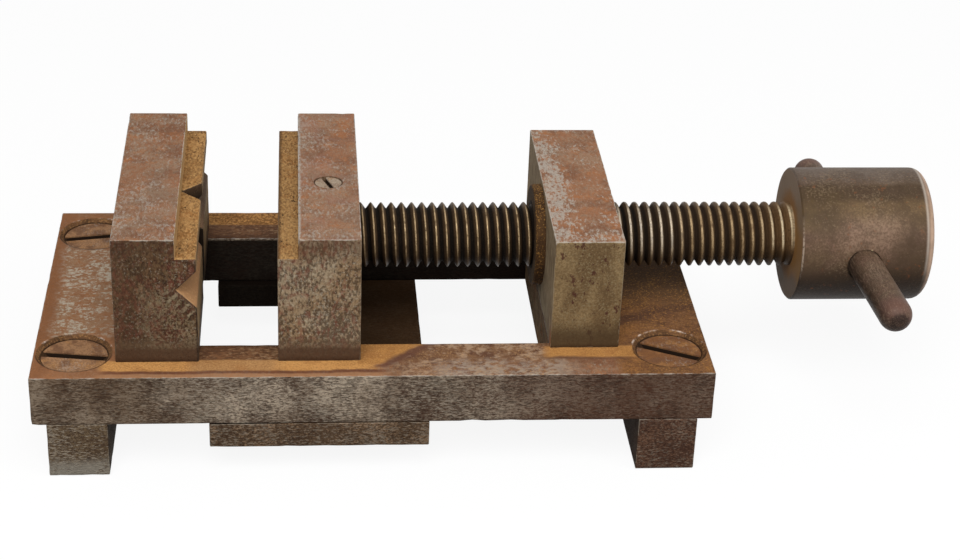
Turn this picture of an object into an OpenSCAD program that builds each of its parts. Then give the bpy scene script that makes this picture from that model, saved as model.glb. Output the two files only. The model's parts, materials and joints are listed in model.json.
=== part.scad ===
// Small drill press vise. A slotted base plate stands on two foot bars and
// carries a fixed jaw and a nut block. A screw spindle with a plain tommy bar
// pushes a moving jaw along the plate, and a keeper plate holds that jaw down.
// The origin is on the table, under the middle of the base plate. +X runs along
// the spindle towards the handle, +Y to the rear, +Z up. Millimetres.

/* [Base] */
// Length of the base plate
base_len = 127; // [115:0.5:160]
// Width of the base plate
base_w = 67.6; // [60:0.1:90]
// Thickness of the base plate
base_t = 10; // [7:0.1:16]
// Width of the window between the two rails
window_w = 43.8; // [40:0.1:46]
// How far the window runs under the fixed jaw
window_under = 1.2; // [0:0.1:2]
// Height of the foot bars
foot_h = 11.1; // [10:0.1:25]
// Width of the foot bars
foot_w = 11.2; // [9:0.1:12]
// Distance from the end of the base to a foot bar
foot_inset = 2.7; // [1.5:0.1:3.4]

/* [Jaws] */
// Width of both jaws
jaw_w = 56.3; // [50:0.1:60]
// Height of both jaws above the base plate
jaw_h = 25.4; // [22:0.1:40]
// Thickness of both jaws, from face to back
jaw_thick = 15.3; // [13:0.1:18]
// Depth of the ledge along the top of each jaw face
ledge_depth = 3.8; // [2:0.1:5]
// Height of the step from the ledge up to the jaw top
ledge_drop = 3.9; // [2:0.1:5]
// Distance from the end of the base to the back of the fixed jaw
fixed_jaw_inset = 15.4; // [14.6:0.1:18]
// Opening between the jaw faces as shown
jaw_gap = 14.7; // [2:0.1:20]
// Depth of the square vee grooves in the fixed jaw
vee_depth = 3.7; // [1.5:0.1:4]
// Height of the level vee groove above the base plate
vee_h = 15.2; // [9:0.1:16]

/* [Guide and keeper] */
// Distance from each face of the moving jaw to the guide block under it
guide_inset = 0.4; // [0.2:0.1:2]
// Length of the keeper plate along the spindle
keeper_len = 41; // [30:0.5:44]
// Thickness of the keeper plate
keeper_t = 5.1; // [4:0.1:7]
// How far the keeper's legs reach in past the edges of the window
keeper_lip = 1.8; // [0.5:0.1:4]
// Distance from the keeper's screws to the edges of the window
keeper_screw_edge = 5.4; // [5:0.1:9]

/* [Nut block] */
// Distance from the end of the base to the nut block
block_inset = 17.2; // [15:0.1:20]
// Thickness of the nut block
block_thick = 13.1; // [11:0.1:16]
// Width of the nut block
block_w = 50.3; // [46:0.1:60]
// Height of the nut block above the base plate
block_h = 22.6; // [22:0.1:35]
// How far the nut block sits behind the middle of the base
block_back = 1.2; // [0:0.1:3]
// Diameter of the nut's flange
flange_d = 19.8; // [18.2:0.1:22]
// Thickness of the nut's flange
flange_t = 1.9; // [1:0.1:3]
// Diameter of the nut's hub in the block
hub_d = 16.8; // [15.8:0.1:17.6]
// How far the nut's hub stops short of the block's outer face
hub_short = 0.4; // [0.2:0.1:2]

/* [Spindle] */
// Outer diameter of the spindle's thread
spindle_d = 12.7; // [11.5:0.1:13.4]
// Pitch of the right-hand thread
pitch = 2; // [1.5:0.1:2.4]
// Depth of the thread from crest to root
thread_depth = 1.2; // [0.8:0.05:1.3]
// Distance of a thread crest past the nut block's inner face
thread_phase = 0.25; // [0:0.05:2]
// Height of the spindle's axis above the middle of the nut block
spindle_h = 0.7; // [-0.3:0.1:1.7]
// Diameter of the plain nose that turns in the moving jaw
nose_d = 9.5; // [8:0.1:10]
// Wall left between the nose's bore and the jaw face
nose_wall = 3; // [2:0.1:5]
// Length of the plain neck between the thread and the head
neck_len = 0.6; // [0.5:0.1:3]
// Distance from the nut block to the spindle's head as shown
spindle_spare = 36.4; // [20:0.1:60]

/* [Handle] */
// Diameter of the spindle's head
head_d = 26.2; // [22:0.1:34]
// Length of the spindle's head
head_len = 26.4; // [22:0.1:40]
// Radius of the head's rounded outer edge
head_round = 2.2; // [0.5:0.1:3]
// Chamfer on the head's inner edge
head_chamfer = 0.3; // [0.2:0.1:1]
// Diameter of the spindle's tail inside the head
tail_d = 10; // [8.5:0.1:11]
// Depth of the tail in the head
tail_len = 20; // [17:0.1:21]
// Diameter of the tommy bar
bar_d = 6.35; // [4:0.05:7]
// Length of the tommy bar
bar_len = 63.5; // [50:0.5:90]
// Distance from the head's inner face to the tommy bar
bar_in_head = 11.6; // [8:0.1:13]
// How far the bar stands out to the front as shown
bar_out = 2.8; // [0:0.1:6]
// Angle of the bar's drilling off square to the spindle
bar_skew = 4.6; // [0:0.1:5]
// Turn of the bar below level at the front as shown
bar_turn = 2; // [-20:0.5:20]

/* [Foot screws] */
// Diameter of the foot screws
foot_screw_d = 6.35; // [4:0.05:6.8]
// Diameter of the countersunk heads of the foot screws
foot_screw_head = 12.5; // [9:0.1:12.8]
// Depth of the foot screw heads below the plate's top
foot_screw_sink = 0.8; // [0:0.1:0.9]
// Length of the foot screws in the foot bars
foot_screw_grip = 8; // [5:0.1:9]
// Distance from the foot screws to the long edges of the plate
foot_screw_edge = 9.5; // [8.2:0.1:11]
// How far the foot screws sit outside the middle of the foot bars
foot_screw_offset = 0.8; // [0:0.1:0.9]
// Width of the slots in the foot screws
foot_slot_w = 1.9; // [0.8:0.1:2]

/* [Block screws] */
// Diameter of the screws under the jaws and the nut block
block_screw_d = 4.8; // [4:0.1:5.5]
// Diameter of their countersunk heads
block_screw_head = 9.4; // [8:0.1:10]
// Depth of their heads below the surface
block_screw_sink = 0.3; // [0:0.1:0.6]
// Length of these screws in the jaws and the nut block
block_screw_grip = 10; // [6:0.1:12]
// Distance between the two screws of the fixed jaw, and of the nut block
block_screw_gap = 33; // [26:0.1:34]
// Width of the slots in these screws
block_slot_w = 1.2; // [0.8:0.1:1.6]

/* [Retaining screw] */
// Diameter of the retaining screw's body
retain_d = 5.1; // [4.2:0.1:5.6]
// Diameter of its pin, which runs in the nose's groove
retain_pin_d = 3.2; // [2:0.1:3.6]
// How far the pin's middle lies inside the nose's surface
retain_bite = 0.55; // [0.3:0.05:0.9]
// Wall between the screw's body and the nose's bore
retain_seat = 1; // [0.5:0.1:2]
// How far the pin reaches below the spindle's axis
retain_reach = 3; // [1:0.1:5]
// Distance of the screw's head below the jaw top
retain_sink = 0.2; // [0.1:0.1:1]
// Width of the retaining screw's slot
retain_slot_w = 0.9; // [0.5:0.1:1.2]

/* [Fits] */
// Gap between the guide and the rails, and between the keeper and the plate
slide_clear = 0.1; // [0.05:0.01:0.3]
// Gap around the nose, the pin and the tommy bar
run_clear = 0.08; // [0.02:0.01:0.1]
// Gap around fixed screws, the nut's hub and the spindle's tail
seat_clear = 0.04; // [0.02:0.01:0.1]
// Radial gap between the spindle's thread and the nut's
thread_clear = 0.2; // [0.15:0.01:0.3]

/* [Hidden] */

$fn = 64;
thread_segments = 24;
arc_steps = 6;
// Cutting tools run this far past the face that they open
past = 1;
screw_tip = 0.6;
screw_end_gap = 0.5;
slot_depth_share = 0.42;

// Levels
plate_bottom = foot_h;
plate_top = foot_h + base_t;
axis_h = block_h / 2 + spindle_h;
axis_z = plate_top + axis_h;

// Places along the spindle
base_left = -base_len / 2;
base_right = base_len / 2;
fixed_back = base_left + fixed_jaw_inset;
fixed_face = fixed_back + jaw_thick;
window_left = fixed_face - window_under;
moving_face = fixed_face + jaw_gap;
moving_back = moving_face + jaw_thick;
block_right = base_right - block_inset;
block_left = block_right - block_thick;
head_left = block_right + spindle_spare;
thread_left = moving_back + slide_clear;
thread_right = head_left - neck_len;
bar_x = head_left + bar_in_head;
keeper_mid = (moving_face + moving_back) / 2;
keeper_left = keeper_mid - keeper_len / 2;
foot_mid = base_len / 2 - foot_inset - foot_w / 2;
foot_screw_x = foot_mid + foot_screw_offset;
foot_screw_y = base_w / 2 - foot_screw_edge;
retain_x = moving_back - (jaw_thick - ledge_depth) / 2;

// The four foot screws: side, edge and the turn of the slot
foot_screws = [[-1, -1, -8], [-1, 1, 10], [1, -1, -26], [1, 1, 34]];
block_slot_turns = [20, -50];
retain_slot_turn = -70;

// The pin runs beside the nose, half sunk in a round groove
retain_off = nose_d / 2 - retain_bite;
retain_body = jaw_h - axis_h - nose_d / 2 - retain_seat;
retain_total = jaw_h - axis_h + retain_reach;

function cone_height(d, head_d) = (head_d - d) / 2;

// A point of the thread: row 0 is the root and row 1 the crest, which lies half
// a pitch on. Step s climbs one pitch in thread_segments steps.
function thread_point(s, row, from, r_root, r_crest) =
    let (turn = 360 * s / thread_segments, r = row == 0 ? r_root : r_crest)
    [from + pitch * (s / thread_segments + (row - 1) / 2), r * cos(turn), r * sin(turn)];

// Threaded rod along X that covers at least the stretch from x0 to x1. Its crest
// crosses the rear of the spindle at the thread's phase, so that rods of any
// length and radius stay in mesh.
module thread_rod(x0, x1, r_crest) {
    r_root = r_crest - thread_depth;
    mesh_x = block_left + thread_phase;
    from = mesh_x + pitch * (floor((x0 - mesh_x) / pitch) - 1);
    turns = ceil((x1 - from) / pitch) + 2;
    n = thread_segments;
    last = turns * n;
    points = [for (s = [0:last]) for (row = [0, 1]) thread_point(s, row, from, r_root, r_crest)];
    ends = [[from, 0, 0], [from + turns * pitch, 0, 0]];
    start = len(points);
    function at(s, row) = 2 * s + row;
    flanks = [
        for (s = [0:last - 1])
            for (face = [
                [at(s, 0), at(s, 1), at(s + 1, 1)],
                [at(s, 0), at(s + 1, 1), at(s + 1, 0)],
            ]) face,
        for (s = [0:last - n - 1])
            for (face = [
                [at(s, 1), at(s + n, 0), at(s + n + 1, 0)],
                [at(s, 1), at(s + n + 1, 0), at(s + 1, 1)],
            ]) face,
    ];
    start_cap = [
        for (s = [0:n - 1]) [at(s, 0), at(s + 1, 0), start],
        [at(n, 0), at(0, 1), start],
        [at(0, 1), at(0, 0), start],
    ];
    end_cap = [
        for (s = [last - n:last - 1]) [at(s + 1, 1), at(s, 1), start + 1],
        [at(last - n, 1), at(last, 0), start + 1],
        [at(last, 0), at(last, 1), start + 1],
    ];
    polyhedron(concat(points, ends), concat(flanks, start_cap, end_cap));
}

// A round bar along X from x0 to x1, on the spindle's axis
module on_axis(x0, x1, d) {
    translate([x0, 0, 0])
        rotate([0, 90, 0])
            cylinder(d = d, h = x1 - x0);
}

// A slotted countersunk screw that points down, with its head's top at z = 0
module countersunk_screw(d, head_d, length, slot_w, slot_turn) {
    cone = cone_height(d, head_d);
    difference() {
        rotate_extrude()
            polygon([
                [0, -length], [d / 2 - screw_tip, -length], [d / 2, -length + screw_tip],
                [d / 2, -cone], [head_d / 2, 0], [0, 0],
            ]);
        rotate([0, 0, slot_turn])
            translate([-head_d, -slot_w / 2, -cone * slot_depth_share])
                cube([2 * head_d, slot_w, cone]);
    }
}

// The hole for such a screw, whose countersink opens to a face sink above its head
module countersunk_hole(d, head_d, length, sink) {
    cone = cone_height(d, head_d);
    r = d / 2 + seat_clear;
    rim = sink + past;
    rotate_extrude()
        polygon([
            [0, -length - screw_end_gap], [r, -length - screw_end_gap], [r, -cone],
            [head_d / 2 + seat_clear + rim, rim], [0, rim],
        ]);
}

// Puts its children at one end of a pair of screws that come up from below the
// level z and stand gap apart
module pair_from_below(i, x, y, z, gap) {
    side = i == 0 ? -1 : 1;
    translate([x, y + side * gap / 2, z + block_screw_sink])
        rotate([180, 0, 0])
            children();
}

module block_screw(i, depth) {
    countersunk_screw(
        block_screw_d, block_screw_head, depth + block_screw_grip - block_screw_sink,
        block_slot_w, block_slot_turns[i]
    );
}

module block_screw_hole(depth) {
    countersunk_hole(
        block_screw_d, block_screw_head, depth + block_screw_grip - block_screw_sink,
        block_screw_sink
    );
}

// Holes for the pairs of screws under the fixed jaw, the nut block and the moving jaw
module fixed_jaw_holes() {
    for (i = [0, 1])
        pair_from_below(i, (fixed_back + fixed_face) / 2, 0, plate_bottom, block_screw_gap)
            block_screw_hole(base_t);
}

module nut_block_holes() {
    for (i = [0, 1])
        pair_from_below(i, (block_left + block_right) / 2, block_back, plate_bottom, block_screw_gap)
            block_screw_hole(base_t);
}

keeper_bottom = plate_bottom - slide_clear - keeper_t;
keeper_stack = plate_top - keeper_bottom;
keeper_screw_gap = window_w - 2 * keeper_screw_edge;

module keeper_holes() {
    for (i = [0, 1])
        pair_from_below(i, keeper_mid, 0, keeper_bottom, keeper_screw_gap)
            block_screw_hole(keeper_stack);
}

module at_foot_screw(i) {
    place = foot_screws[i];
    translate([place[0] * foot_screw_x, place[1] * foot_screw_y, plate_top - foot_screw_sink])
        children();
}

foot_screw_len = base_t - foot_screw_sink + foot_screw_grip;

module foot_screw_holes() {
    for (i = [0:3])
        at_foot_screw(i)
            countersunk_hole(foot_screw_d, foot_screw_head, foot_screw_len, foot_screw_sink);
}

// Plate with a window that runs from under the fixed jaw to the nut block
module base_plate() {
    color([0.52, 0.38, 0.29])
        difference() {
            translate([base_left, -base_w / 2, plate_bottom])
                cube([base_len, base_w, base_t]);
            translate([window_left, -window_w / 2, plate_bottom - past])
                cube([block_left - window_left, window_w, base_t + 2 * past]);
            foot_screw_holes();
            fixed_jaw_holes();
            nut_block_holes();
        }
}

module foot_bar(side) {
    color([0.50, 0.44, 0.38])
        difference() {
            translate([side * foot_mid - foot_w / 2, -base_w / 2, 0])
                cube([foot_w, base_w, foot_h]);
            foot_screw_holes();
        }
}

module foot_screw(i) {
    color([0.48, 0.36, 0.28])
        at_foot_screw(i)
            countersunk_screw(
                foot_screw_d, foot_screw_head, foot_screw_len, foot_slot_w, foot_screws[i][2]
            );
}

// Jaw block with its face at x = 0 and its back at x = jaw_thick
module jaw_block() {
    translate([0, jaw_w / 2, plate_top])
        rotate([90, 0, 0])
            linear_extrude(jaw_w)
                polygon([
                    [0, 0], [jaw_thick, 0], [jaw_thick, jaw_h], [ledge_depth, jaw_h],
                    [ledge_depth, jaw_h - ledge_drop], [0, jaw_h - ledge_drop],
                ]);
}

// Square bar on edge along Z that cuts a vee of vee_depth into the plane x = 0
module vee_cutter(length) {
    side = vee_depth * sqrt(2);
    rotate([0, 0, 45])
        translate([-side / 2, -side / 2, 0])
            cube([side, side, length]);
}

module fixed_jaw() {
    color([0.47, 0.38, 0.32])
        difference() {
            translate([fixed_face, 0, 0])
                mirror([1, 0, 0])
                    jaw_block();
            translate([fixed_face, 0, plate_top - past])
                vee_cutter(jaw_h);
            translate([fixed_face, jaw_w / 2 + past, plate_top + vee_h])
                rotate([90, 0, 0])
                    vee_cutter(jaw_w + 2 * past);
            fixed_jaw_holes();
        }
}

module fixed_jaw_screw(i) {
    color([0.40, 0.34, 0.30])
        pair_from_below(i, (fixed_back + fixed_face) / 2, 0, plate_bottom, block_screw_gap)
            block_screw(i, base_t);
}

module nut_block() {
    color([0.49, 0.43, 0.35])
        difference() {
            translate([block_left, block_back - block_w / 2, plate_top])
                cube([block_thick, block_w, block_h]);
            translate([0, 0, axis_z])
                on_axis(block_left - past, block_right + past, hub_d + 2 * seat_clear);
            nut_block_holes();
        }
}

module nut_block_screw(i) {
    color([0.40, 0.34, 0.30])
        pair_from_below(i, (block_left + block_right) / 2, block_back, plate_bottom, block_screw_gap)
            block_screw(i, base_t);
}

// Round nut whose flange takes the thrust on the block's inner face
module flanged_nut() {
    color([0.36, 0.28, 0.20])
        translate([0, 0, axis_z])
            difference() {
                union() {
                    on_axis(block_left - flange_t, block_left, flange_d);
                    on_axis(block_left - flange_t, block_right - hub_short, hub_d);
                }
                thread_rod(block_left - flange_t - past, block_right + past, spindle_d / 2 + thread_clear);
            }
}

module retain_place() {
    translate([retain_x, -retain_off, plate_top + jaw_h])
        children();
}

module moving_jaw() {
    color([0.48, 0.40, 0.35])
        difference() {
            translate([moving_face, 0, 0])
                jaw_block();
            translate([0, 0, axis_z])
                on_axis(moving_face + nose_wall, moving_back + past, nose_d + 2 * run_clear);
            retain_place() {
                translate([0, 0, -retain_body])
                    cylinder(d = retain_d + 2 * seat_clear, h = retain_body + past);
                translate([0, 0, -retain_total - screw_end_gap])
                    cylinder(d = retain_pin_d + 2 * seat_clear, h = retain_total);
            }
            keeper_holes();
        }
}

// Slotted screw with a long pin that keeps the nose in the jaw
module retaining_screw() {
    color([0.42, 0.33, 0.27])
        retain_place()
            difference() {
                rotate_extrude()
                    polygon([
                        [0, -retain_total], [retain_pin_d / 2, -retain_total],
                        [retain_pin_d / 2, -retain_body + seat_clear],
                        [retain_d / 2, -retain_body + seat_clear],
                        [retain_d / 2, -retain_sink], [0, -retain_sink],
                    ]);
                rotate([0, 0, retain_slot_turn])
                    translate([-retain_d, -retain_slot_w / 2, -retain_sink - retain_slot_w])
                        cube([2 * retain_d, retain_slot_w, retain_body]);
            }
}

// Block under the moving jaw that runs between the rails
module guide_block() {
    color([0.35, 0.30, 0.27])
        difference() {
            translate([moving_face + guide_inset, slide_clear - window_w / 2, plate_bottom - slide_clear])
                cube([jaw_thick - 2 * guide_inset, window_w - 2 * slide_clear, base_t + slide_clear]);
            keeper_holes();
        }
}

// Plate under the rails, notched from the left so that a drill can run through
module keeper_plate() {
    color([0.45, 0.37, 0.30])
        difference() {
            translate([keeper_left, -base_w / 2, keeper_bottom])
                cube([keeper_len, base_w, keeper_t]);
            translate([keeper_left - past, keeper_lip - window_w / 2, keeper_bottom - past])
                cube([moving_face - keeper_left + past, window_w - 2 * keeper_lip, keeper_t + 2 * past]);
            keeper_holes();
        }
}

module keeper_screw(i) {
    color([0.40, 0.34, 0.30])
        pair_from_below(i, keeper_mid, 0, keeper_bottom, keeper_screw_gap)
            block_screw(i, keeper_stack);
}

// The bar's line through the spindle's head, with the front end along +Z
module along_bar() {
    translate([bar_x, 0, axis_z])
        rotate([90 + bar_turn, 0, 0])
            rotate([0, bar_skew, 0])
                children();
}

module bar_hole() {
    along_bar()
        cylinder(d = bar_d + 2 * run_clear, h = 2 * head_d, center = true);
}

// Threaded spindle: grooved nose, thread, neck and a tail that the bar passes through
module spindle() {
    nose_left = moving_face + nose_wall + run_clear;
    color([0.36, 0.28, 0.20])
        union() {
            translate([0, 0, axis_z]) {
                intersection() {
                    thread_rod(thread_left, thread_right, spindle_d / 2);
                    on_axis(thread_left, thread_right, 2 * spindle_d);
                }
                difference() {
                    on_axis(nose_left, thread_left + past, nose_d);
                    translate([retain_x, 0, 0])
                        rotate([0, 90, 0])
                            rotate_extrude()
                                translate([retain_off, 0])
                                    circle(d = retain_pin_d + 2 * run_clear);
                }
                on_axis(thread_right - past, head_left, spindle_d - thread_depth);
            }
            difference() {
                translate([0, 0, axis_z])
                    on_axis(head_left - past, head_left + tail_len, tail_d);
                bar_hole();
            }
        }
}

// Round head with a rounded outer edge, bored for the tail and the bar
module spindle_head() {
    r = head_d / 2;
    outer_edge = [
        for (i = [0:arc_steps])
            let (turn = 90 * i / arc_steps)
            [r - head_round + head_round * cos(turn), head_len - head_round + head_round * sin(turn)],
    ];
    color([0.38, 0.31, 0.25])
        difference() {
            translate([head_left, 0, axis_z])
                rotate([0, 90, 0])
                    rotate_extrude()
                        polygon(concat(
                            [[0, 0], [r - head_chamfer, 0], [r, head_chamfer]],
                            outer_edge,
                            [[0, head_len]]
                        ));
            translate([0, 0, axis_z])
                on_axis(head_left - past, head_left + tail_len + screw_end_gap, tail_d + 2 * seat_clear);
            bar_hole();
        }
}

// Plain bar with ball ends, which slides through the head
module tommy_bar() {
    half = bar_len / 2 - bar_d / 2;
    color([0.33, 0.26, 0.22])
        along_bar()
            translate([0, 0, bar_out])
                rotate_extrude()
                    intersection() {
                        union() {
                            translate([0, -half])
                                square([bar_d / 2, 2 * half]);
                            for (side = [-1, 1])
                                translate([0, side * half])
                                    circle(d = bar_d);
                        }
                        translate([0, -bar_len])
                            square([bar_d, 2 * bar_len]);
                    }
}

base_plate();
foot_bar(-1);  // left_foot_bar
foot_bar(1);  // right_foot_bar
for (i = [0:3]) foot_screw(i);
fixed_jaw();
for (i = [0, 1]) fixed_jaw_screw(i);
nut_block();
for (i = [0, 1]) nut_block_screw(i);
flanged_nut();
moving_jaw();
guide_block();
keeper_plate();
for (i = [0, 1]) keeper_screw(i);
retaining_screw();
spindle();
spindle_head();
tommy_bar();
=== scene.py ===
# %% [markdown]
# A drill press vise
#
# This lesson dresses a small machine vise: ground steel blocks screwed to a slotted
# plate, pushed together by a screw with a tommy bar. The sizes, places and joints come
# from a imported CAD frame, so this script only adds what a camera sees: rounded and
# nicked edges, a fine thread, slotted screws, and steel that has rusted and worn.

# %% Load the frame
import json
import math

import bmesh
import bpy
import numpy as np
from mathutils import Euler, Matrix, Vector, noise


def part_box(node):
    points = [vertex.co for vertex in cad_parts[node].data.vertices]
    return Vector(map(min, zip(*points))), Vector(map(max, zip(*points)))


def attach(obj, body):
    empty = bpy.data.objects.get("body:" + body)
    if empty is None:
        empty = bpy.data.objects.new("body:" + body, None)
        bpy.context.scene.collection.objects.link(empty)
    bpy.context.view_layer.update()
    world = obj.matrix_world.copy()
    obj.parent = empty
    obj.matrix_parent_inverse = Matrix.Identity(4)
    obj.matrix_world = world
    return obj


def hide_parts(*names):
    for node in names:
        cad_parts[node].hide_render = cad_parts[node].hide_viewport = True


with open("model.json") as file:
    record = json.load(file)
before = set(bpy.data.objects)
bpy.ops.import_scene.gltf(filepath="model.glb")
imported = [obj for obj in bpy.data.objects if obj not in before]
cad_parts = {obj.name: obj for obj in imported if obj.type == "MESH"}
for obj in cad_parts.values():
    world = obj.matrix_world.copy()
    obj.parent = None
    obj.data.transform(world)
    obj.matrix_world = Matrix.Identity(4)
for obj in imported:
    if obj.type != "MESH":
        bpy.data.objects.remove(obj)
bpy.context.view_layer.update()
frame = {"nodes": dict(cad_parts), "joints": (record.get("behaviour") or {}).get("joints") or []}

MM = 0.001


def in_scene(name, data):
    """Makes an object and links it to the scene."""
    made = bpy.data.objects.new(name, data)
    bpy.context.scene.collection.objects.link(made)
    return made


# %% [markdown]
# The vise is a stack of blocks, so most places that the looks need are corners of CAD
# boxes. They could be typed in again, but reading them from the frame means that the
# looks follow when a size changes. Shaders work in millimetres here, because rust and
# wear are easier to picture at that scale.

# %% Read the main places from the frame


def box_mm(node):
    """Lowest and highest corner of a CAD node, in millimetres."""
    low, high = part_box(node)
    return low / MM, high / MM


plate_low, plate_high = box_mm("base_plate")
fixed_low, fixed_high = box_mm("fixed_jaw")
moving_low, moving_high = box_mm("moving_jaw")
block_low, block_high = box_mm("nut_block")
guide_high = box_mm("guide_block")[1]
flange_low, flange_high = box_mm("flanged_nut")
spindle_low, spindle_high = box_mm("spindle")
head_low, head_high = box_mm("spindle_head")

axis_z = (head_low.z + head_high.z) / 2
WINDOW_UNDER_MM = 1.2
window_left = fixed_high.x - WINDOW_UNDER_MM
window_right = block_low.x
window_half = guide_high.y
joints = {joint["name"]: joint for joint in frame["joints"]}
bar_along = Vector(joints["bar_slide"]["axis"]).normalized()
print("spindle axis at z", round(axis_z, 2), "mm")
print("window from x", round(window_left, 1), "to", round(window_right, 1), "mm")

# %% [markdown]
# The camera stands a little left of the middle and looks down at the front edge. A fit
# of the visible corners gave its place, turn and lens, so it is written out here rather
# than aimed by eye.

# %% Camera
PHOTO_LENS_MM = 81.27
SENSOR_MM = 36.0
CAMERA_PLACE_MM = Vector((-14.146, -377.474, 226.793))
CAMERA_TURN_DEG = (61.711, -2.028, -4.323)

camera_data = bpy.data.cameras.new("photo_camera")
camera_data.lens = PHOTO_LENS_MM
camera_data.sensor_width = SENSOR_MM
camera_data.sensor_fit = "HORIZONTAL"
camera = in_scene("photo_camera", camera_data)
camera.location = CAMERA_PLACE_MM * MM
camera.rotation_euler = Euler([math.radians(turn) for turn in CAMERA_TURN_DEG], "XYZ")
bpy.context.scene.camera = camera
print("camera", round(camera.location.length, 3), "m from the origin")

# %% [markdown]
# Shader and geometry trees are built by hand here, so a few helpers keep the lines short.
# A wire is a node's output that can stand in a sum like a number: each sign adds a node
# to the tree. Masks are wires from 0 to 1, so a product means both and a bar means either.

# %% Node helpers


class Wire:
    """A node's output, which can stand in a sum; a bar gives the greater of two."""

    def __init__(self, tree, socket):
        self.tree = tree
        self.socket = socket

    def calc(self, operation, other=0.0):
        return out(self.tree, "ShaderNodeMath", {0: self, 1: other}, operation=operation)

    def __add__(self, other):
        return self.calc("ADD", other)

    def __sub__(self, other):
        return self.calc("SUBTRACT", other)

    def __rsub__(self, other):
        return out(self.tree, "ShaderNodeMath", {0: other, 1: self}, operation="SUBTRACT")

    def __mul__(self, other):
        return self.calc("MULTIPLY", other)

    def __truediv__(self, other):
        return self.calc("DIVIDE", other)

    def __rtruediv__(self, other):
        return out(self.tree, "ShaderNodeMath", {0: other, 1: self}, operation="DIVIDE")

    def __or__(self, other):
        return self.calc("MAXIMUM", other)

    def __abs__(self):
        return self.calc("ABSOLUTE")

    def span(self, low, high, place=0.0):
        """0 to 1 from low to high, with a soft climb, or the reverse if low is the higher.

        Both are measured from a place, if one is given.
        """
        if place:
            low, high = place + low, place + high
        sockets = {"Value": self, "From Min": low, "From Max": high}
        return out(self.tree, "ShaderNodeMapRange", sockets, interpolation_type="SMOOTHSTEP")

    def band(self, low, high, soft, place=0.0):
        """1 between low and high, with soft sides."""
        if place:
            low, high = place + low, place + high
        return self.span(low - soft, low + soft) * self.span(high + soft, high - soft)


def add(tree, kind, inputs=None, **options):
    """Adds a node, sets its options, and fills its inputs with values or wires."""
    made = tree.nodes.new(kind)
    for option, value in options.items():
        setattr(made, option, value)
    for socket, value in (inputs or {}).items():
        if isinstance(value, Wire):
            tree.links.new(value.socket, made.inputs[socket])
        else:
            made.inputs[socket].default_value = value
    return made


def out(tree, kind, inputs=None, output=0, **options):
    """Adds a node and gives one of its outputs."""
    return Wire(tree, add(tree, kind, inputs, **options).outputs[output])


def split(tree, vector):
    """The X, Y and Z of a vector."""
    return [Wire(tree, part) for part in add(tree, "ShaderNodeSeparateXYZ", {0: vector}).outputs]


def new_group(name, kind, inputs, outputs):
    """A node group with named sockets: the tree, and a wire for each input."""
    tree = bpy.data.node_groups.new(name, kind)
    for label, socket, value in inputs:
        made = tree.interface.new_socket(name=label, in_out="INPUT", socket_type=socket)
        if value is not None:
            made.default_value = value
    for label, socket in outputs:
        tree.interface.new_socket(name=label, in_out="OUTPUT", socket_type=socket)
    given = tree.nodes.new("NodeGroupInput").outputs
    return tree, {label: Wire(tree, given[label]) for label, _, _ in inputs}


VALUE = "NodeSocketFloat"
VECTOR = "NodeSocketVector"
WHOLE = "NodeSocketInt"
GEOMETRY = "NodeSocketGeometry"
MATERIAL = "NodeSocketMaterial"
print("node helpers: a wire can stand in a sum")

# %% [markdown]
# Old steel is one picture told many times: flecks of one tone on another. A group of
# two noises draws it, one for the flecks and one for the patches where they gather.
# Stretching the flecks turns them into the streaks that a milling cutter leaves.

# %% Shader group: flecks

EVEN = (1.0, 1.0, 1.0)

flecks, given = new_group(
    "flecks",
    "ShaderNodeTree",
    [
        ("Place", VECTOR, None),
        ("Shift", VECTOR, None),
        ("Stretch", VECTOR, EVEN),
        ("Size", VALUE, 1.0),
        ("Patch Size", VALUE, 8.0),
        ("Patch Share", VALUE, 0.35),
        ("Level", VALUE, 0.5),
        ("Softness", VALUE, 0.06),
    ],
    [("Mask", VALUE)],
)
moved = out(flecks, "ShaderNodeVectorMath", {0: given["Place"], 1: given["Shift"]})
drawn = out(flecks, "ShaderNodeVectorMath", {0: moved, 1: given["Stretch"]}, operation="DIVIDE")
fine_noise = {"Vector": drawn, "Scale": 1.0 / given["Size"], "Detail": 5.0, "Roughness": 0.62}
fine = out(flecks, "ShaderNodeTexNoise", fine_noise)
patch_noise = {"Vector": moved, "Scale": 1.0 / given["Patch Size"], "Detail": 2.0}
patch = out(flecks, "ShaderNodeTexNoise", patch_noise)
share = given["Patch Share"]
total = fine * (1.0 - share) + patch * share
low_edge = given["Level"] - given["Softness"]
high_edge = given["Level"] + given["Softness"]
add(flecks, "NodeGroupOutput", {"Mask": total.span(low_edge, high_edge)})
print("group", flecks.name, "has", len(flecks.nodes), "nodes")

# %% [markdown]
# Corners of a vise are rubbed bright by hands and work. Each block carries the distance
# to its nearest corner as an attribute, and this group turns that into a ragged line:
# the noise makes the rubbed strip wider in some places and lets it die out in others.

# %% Shader group: rubbed edges

RAGGED_MIDDLE = 0.45
RAGGED_SWING = 4.0
LEAST_REACH_MM = 0.02
FULL_FROM = 0.7

rubbed, given = new_group(
    "rubbed edges",
    "ShaderNodeTree",
    [
        ("Place", VECTOR, None),
        ("Distance", VALUE, 10.0),
        ("Width", VALUE, 0.5),
        ("Raggedness", VALUE, 1.0),
    ],
    [("Mask", VALUE)],
)
ragged_noise = {"Vector": given["Place"], "Scale": 0.55, "Detail": 4.0, "Roughness": 0.7}
ragged = out(rubbed, "ShaderNodeTexNoise", ragged_noise)
swing = (ragged - RAGGED_MIDDLE) * given["Raggedness"]
reach = given["Width"] * (swing * RAGGED_SWING + 1.0) | LEAST_REACH_MM
near = 1.0 - given["Distance"] / reach
add(rubbed, "NodeGroupOutput", {"Mask": near.span(0.0, FULL_FROM)})
print("group", rubbed.name, "has", len(rubbed.nodes), "nodes")

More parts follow.
